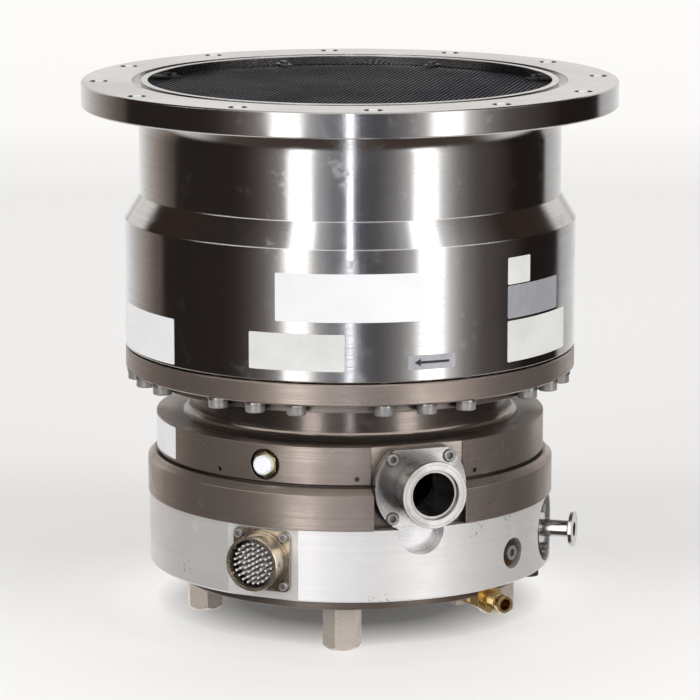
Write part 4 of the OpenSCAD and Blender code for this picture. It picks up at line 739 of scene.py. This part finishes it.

# %% [markdown]
# ## The inside
#
# Seen through the screen, and when the casing is taken away: the rotor and its blades are milled
# aluminium under a dark grey plating, as are the stator rings; that grey is also painted darker, as the
# shade inside the pump. The shaft, the thrust disc and the spacers are steel. Motor and magnet cores are
# stacks of thin steel sheets, so their lines lie close together. The coils are wound from varnished copper
# wire.

# %% Dress the inside
blade_aluminium = metal(
    "blade_aluminium", (0.84, 0.845, 0.86), (0.74, 0.745, 0.76), 0.28, 0.38, lines=0.5,
    stretch=(40, 40, 700), patch_scale=30.0, edge=0.0,
)
# plating and painted shade: the blade aluminium made dark grey for the rotor and stator rings inside
blade_plated_and_shaded = metal(
    "blade_plated_and_shaded", (0.34, 0.34, 0.37), (0.27, 0.27, 0.30), 0.30, 0.40, lines=0.5,
    stretch=(40, 40, 700), patch_scale=30.0, edge=0.0,
)
shaft_steel = metal(
    "shaft_steel", (0.66, 0.66, 0.66), (0.56, 0.56, 0.56), 0.18, 0.26, lines=0.6, patch_scale=25.0, edge=0.0,
)
sheet_steel = metal(
    "sheet_steel", (0.34, 0.36, 0.42), (0.26, 0.27, 0.32), 0.36, 0.46, lines=1.0,
    stretch=(1, 1, 2200), patch_scale=30.0, bump=0.3, edge=0.0,
)
coil_copper = metal(
    "coil_copper", (0.72, 0.36, 0.18), (0.52, 0.23, 0.11), 0.30, 0.40, lines=1.0,
    stretch=(60, 60, 1500), patch_scale=60.0, bump=0.4, edge=0.0,
)
dress(blade_plated_and_shaded, "rotor")
dress(blade_aluminium, "threaded_stator", "motor_column", "column_end_cap")
for number in range(1, 8):
    dress(blade_plated_and_shaded, f"stator_blades_{number}")
dress(
    shaft_steel, "rotor_shaft", "thrust_disc", "thrust_nut", "spacer_rings",
    "upper_touchdown_bearing", "lower_touchdown_bearing",
)
dress(bolt_steel, "rotor_bolts", "column_screws")
dress(
    sheet_steel, "motor_magnet_sleeve", "bearing_sleeves", "motor_stator", "upper_radial_magnet",
    "lower_radial_magnet", "upper_axial_magnet", "lower_axial_magnet",
)
dress(coil_copper, "magnet_coils", "motor_windings", "position_sensors")
print("inside dressed")

# %% [markdown]
# ## Cut thin sheets and bend them
#
# Thin self-adhesive plates are stuck on the casing and bend round it. Each one is a thin curved sheet
# with rounded corners, a hair thicker than paper, so it catches a line of light along its edge. It is cut
# flat, sliced into narrow strips so that it can bend, made thick, and wrapped on the round wall.

# %% Cut and bend a sheet
def mesh_object(name, verts, faces, material, body="pump", smooth=False):
    mesh = bpy.data.meshes.new(name)
    mesh.from_pydata([tuple(v) for v in verts], [], faces)
    mesh.update()
    made = bpy.data.objects.new(name, mesh)
    bpy.context.collection.objects.link(made)
    mesh.materials.append(material)
    for polygon in mesh.polygons:
        polygon.use_smooth = smooth
    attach(made, body)
    return made


def on_wall(azimuth_deg, radius, z):
    a = math.radians(azimuth_deg)
    return (radius * math.cos(a), radius * math.sin(a), z)


def corner_outline(width, height, radius):
    """Rectangle outline with rounded corners, centred on zero, counter-clockwise."""
    points, steps = [], 5
    for quarter, (sx, sy) in enumerate(((1, 1), (-1, 1), (-1, -1), (1, -1))):
        cx, cy = sx * (width / 2 - radius), sy * (height / 2 - radius)
        for step in range(steps + 1):
            a = math.radians(90 * quarter + 90 * step / steps)
            points.append((cx + radius * math.cos(a), cy + radius * math.sin(a)))
    return points


STRIP_W = 0.004


def wrap(name, outline, azimuth_mid, z_mid, wall_r, thick, material):
    """Flat outline (metres) wrapped on the round wall as a thin sheet."""
    bm = bmesh.new()
    verts = [bm.verts.new((x, y, 0.0)) for x, y in outline]
    bm.faces.new(verts)
    xs = [x for x, _ in outline]
    x = min(xs) + STRIP_W
    while x < max(xs) - STRIP_W / 2:
        everything = bm.verts[:] + bm.edges[:] + bm.faces[:]
        bmesh.ops.bisect_plane(bm, geom=everything, plane_co=(x, 0, 0), plane_no=(1, 0, 0))
        x += STRIP_W
    top = bmesh.ops.extrude_face_region(bm, geom=bm.faces[:])
    for item in top["geom"]:
        if isinstance(item, bmesh.types.BMVert):
            item.co.z = thick
    bmesh.ops.recalc_face_normals(bm, faces=bm.faces[:])
    for vert in bm.verts:
        azimuth = azimuth_mid + math.degrees(vert.co.x / wall_r)
        vert.co = Vector(on_wall(azimuth, wall_r + vert.co.z, z_mid + vert.co.y))
    mesh = bpy.data.meshes.new(name)
    bm.to_mesh(mesh)
    bm.free()
    made = bpy.data.objects.new(name, mesh)
    bpy.context.collection.objects.link(made)
    mesh.materials.append(material)
    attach(made, "pump")
    return made


print("sheets can be wrapped")

# %% [markdown]
# ## The plates on the casing
#
# The plates stay bare: white film, matt paper and brushed silver film. One of them carries an arrow for
# the direction of rotation. Seen from above the rotor turns clockwise, the way its blades lean.

# %% Stick on the plates
plate_white = coat("plate_white", (0.73, 0.73, 0.745), (0.68, 0.68, 0.695), 0.34, scale=20.0, specular=0.4)
plate_paper = coat("plate_paper", (0.62, 0.62, 0.60), (0.54, 0.54, 0.525), 0.45, scale=26.0, specular=0.35)
plate_silver = metal(
    "plate_silver", (0.40, 0.40, 0.43), (0.34, 0.34, 0.365), 0.34, 0.40, lines=0.4,
    stretch=(300, 300, 4), patch_scale=20.0, edge=0.0, metallic=0.3,
)
ink_black = coat("ink_black", (0.012, 0.012, 0.013), (0.022, 0.022, 0.022), 0.4, scale=90.0)

CASING_R = 0.190
UPPER_RING_R = 0.1643
PLATE_T = 0.00018
CORNER_R = 0.0012
INK_T = 0.00005
PLATES = [
    # name, first azimuth, last azimuth, low, high, wall radius, material
    ("plate_large", -108.4, -71.9, 284.8, 324.0, CASING_R, plate_white),
    ("plate_lower_left", -115.3, -91.3, 244.8, 275.0, CASING_R, plate_paper),
    ("plate_arrow", -75.8, -63.6, 245.2, 257.0, CASING_R, plate_silver),
    ("plate_small", -47.7, -39.6, 307.0, 329.0, CASING_R, plate_paper),
    ("plate_rating", -47.7, -26.6, 279.0, 306.0, CASING_R, plate_silver),
    ("plate_lower_right", -47.7, -21.4, 243.0, 277.0, CASING_R, plate_paper),
    ("plate_left", -168.0, -139.0, 238.0, 276.0, CASING_R, plate_white),
    ("plate_ring", -176.0, -152.0, 148.5, 175.5, UPPER_RING_R, plate_white),
]
for name, first, last, low, high, wall_r, material in PLATES:
    width = math.radians(last - first) * wall_r
    outline = corner_outline(width, (high - low) * MM, CORNER_R)
    middle = (first + last) / 2
    wrap(name, outline, middle, (low + high) / 2 * MM, wall_r, PLATE_T, material)

ARROW_MID = -69.7
ARROW_Z = 0.2511
arrow = [
    (-0.0150, 0.0), (-0.0095, -0.0032), (-0.0098, -0.0011), (0.0150, -0.0010),
    (0.0150, 0.0010), (-0.0098, 0.0011), (-0.0095, 0.0032),
]
wrap("rotation_arrow", arrow, ARROW_MID, ARROW_Z, CASING_R + PLATE_T, INK_T, ink_black)
print("plates:", len(PLATES))

# %% [markdown]
# ## Turn a ring, wind a thread
#
# Some details are too small for the solids: lips, studs and a thread. A ring is a closed outline turned
# round an axis, as on a lathe. A thread is one sharp ridge that climbs as it winds, and fades at both
# ends as a cut thread does.

# %% Turn rings and wind threads
def outward(azimuth_deg, radius, z):
    """Matrix whose +Z points outward at this azimuth, at this distance from the rotor axis."""
    return (
        Matrix.Rotation(math.radians(azimuth_deg), 4, "Z")
        @ Matrix.Translation((radius, 0, z))
        @ Matrix.Rotation(math.radians(90), 4, "Y")
    )


def lathe(name, profile, matrix, material, steps=72, body="pump"):
    """Ring turned from a closed profile of (radius, height) points."""
    verts, faces = [], []
    count = len(profile)
    for step in range(steps):
        a = 2 * math.pi * step / steps
        verts += [matrix @ Vector((r * math.cos(a), r * math.sin(a), z)) for r, z in profile]
    for step in range(steps):
        here, there = step * count, (step + 1) % steps * count
        for k in range(count):
            n = (k + 1) % count
            faces.append((here + k, there + k, there + n, here + n))
    made = mesh_object(name, verts, faces, material, body, smooth=False)
    return made


def thread(name, matrix, radius, low, high, pitch, depth, material):
    """One ridge wound along +Z: a triangle swept on a helix."""
    verts, faces, steps = [], [], 40
    turns = (high - low) / pitch
    total = int(turns * steps)
    half = pitch * 0.42
    for step in range(total + 1):
        a = 2 * math.pi * step / steps
        z = low + pitch * step / steps
        fade = min(1.0, step / 12, (total - step) / 12)
        for r, dz in ((radius - 0.0001, -half), (radius + depth * fade, 0.0), (radius - 0.0001, half)):
            verts.append(matrix @ Vector((r * math.cos(a), r * math.sin(a), z + dz)))
    for step in range(total):
        for k in range(3):
            n = (k + 1) % 3
            faces.append((3 * step + k, 3 * step + n, 3 * step + 3 + n, 3 * step + 3 + k))
    faces.append((0, 2, 1))
    faces.append((3 * total, 3 * total + 1, 3 * total + 2))
    made = mesh_object(name, verts, faces, material, smooth=False)
    return made


print("rings and threads can be made")

# %% [markdown]
# ## Threads and lips of the hose nozzles
#
# The two brass hose nozzles are screwed in: a fine thread runs out in front of the hexagon, and a small
# lip at the tip holds the hose. The rear nozzle is the front one turned half round the pump.

# %% Thread the nozzles
NOZZLE_TIP = (0.1288, -0.116, 0.0335)
NOZZLE_R = 0.00675
for side, spin in (("front", 0.0), ("rear", 180.0)):
    tip = (
        Matrix.Rotation(math.radians(spin), 4, "Z")
        @ Matrix.Translation(NOZZLE_TIP)
        @ Matrix.Rotation(math.radians(NOZZLE_AZ), 4, "Z")
        @ Matrix.Rotation(math.radians(90), 4, "Y")
    )
    thread(f"nozzle_thread_{side}", tip, NOZZLE_R, -0.0185, -0.0075, 0.0016, 0.0006, fitting_brass)
    lathe(
        f"nozzle_lip_{side}",
        [(0.0058, -0.0014), (0.0071, -0.0014), (0.0073, -0.0008), (0.0069, 0.0), (0.0058, 0.0)],
        tip, fitting_brass,
    )

print("nozzles threaded")

# %% [markdown]
# ## The connector's lip, studs and keys, and the plug's seal
#
# The cable connector has a rolled lip, three small studs that lock the plug's ring, and five keys inside
# that let the plug in one way only. The service plug sits on a copper seal ring that is pressed flat and
# stands out a little all round.

# %% Finish the connector and the service plug
RIM_R = 0.190
SHELL_R = 0.02225
shell = outward(CONNECTOR_AZ, RIM_R, CONNECTOR_Z)
lathe(
    "connector_lip",
    [(SHELL_R - 0.0004, -0.0026), (SHELL_R + 0.0006, -0.0022), (SHELL_R + 0.0007, -0.0006),
     (SHELL_R + 0.0001, 0.0), (SHELL_R - 0.0004, -0.0002)],
    shell, shell_nickel,
)
for number, angle in enumerate((90, 210, 330)):
    place = shell @ Matrix.Rotation(math.radians(angle), 4, "Z") @ Matrix.Translation((SHELL_R, 0, -0.008))
    place = place @ Matrix.Rotation(math.radians(90), 4, "Y")
    lathe(
        f"connector_stud_{number}", [(0.0, -0.0008), (0.0014, -0.0008), (0.0014, 0.0010), (0.0, 0.0013)],
        place, shell_nickel, steps=20,
    )
for number, angle in enumerate((62, 128, 180, 232, 298)):
    inner = SHELL_R - 0.0021
    verts = [
        shell @ Matrix.Rotation(math.radians(angle), 4, "Z") @ Vector((x, y, z))
        for z in (-0.0118, -0.0015) for x, y in (
            (inner - 0.0012, -0.0010), (inner, -0.0010), (inner, 0.0010), (inner - 0.0012, 0.0010))
    ]
    faces = [(0, 3, 2, 1), (4, 5, 6, 7), (0, 1, 5, 4), (1, 2, 6, 5), (2, 3, 7, 6), (3, 0, 4, 7)]
    mesh_object(f"connector_key_{number}", verts, faces, shell_nickel)
SERVICE_FLANGE_FACE_R = 0.1670
lathe(
    "service_seal_ring",
    [(0.0066, -0.0001), (0.0112, -0.0001), (0.0112, 0.0004), (0.0108, 0.0006), (0.0066, 0.0006)],
    outward(SERVICE_AZ, SERVICE_FLANGE_FACE_R, SERVICE_Z), seal_copper,
)
print("small details added")
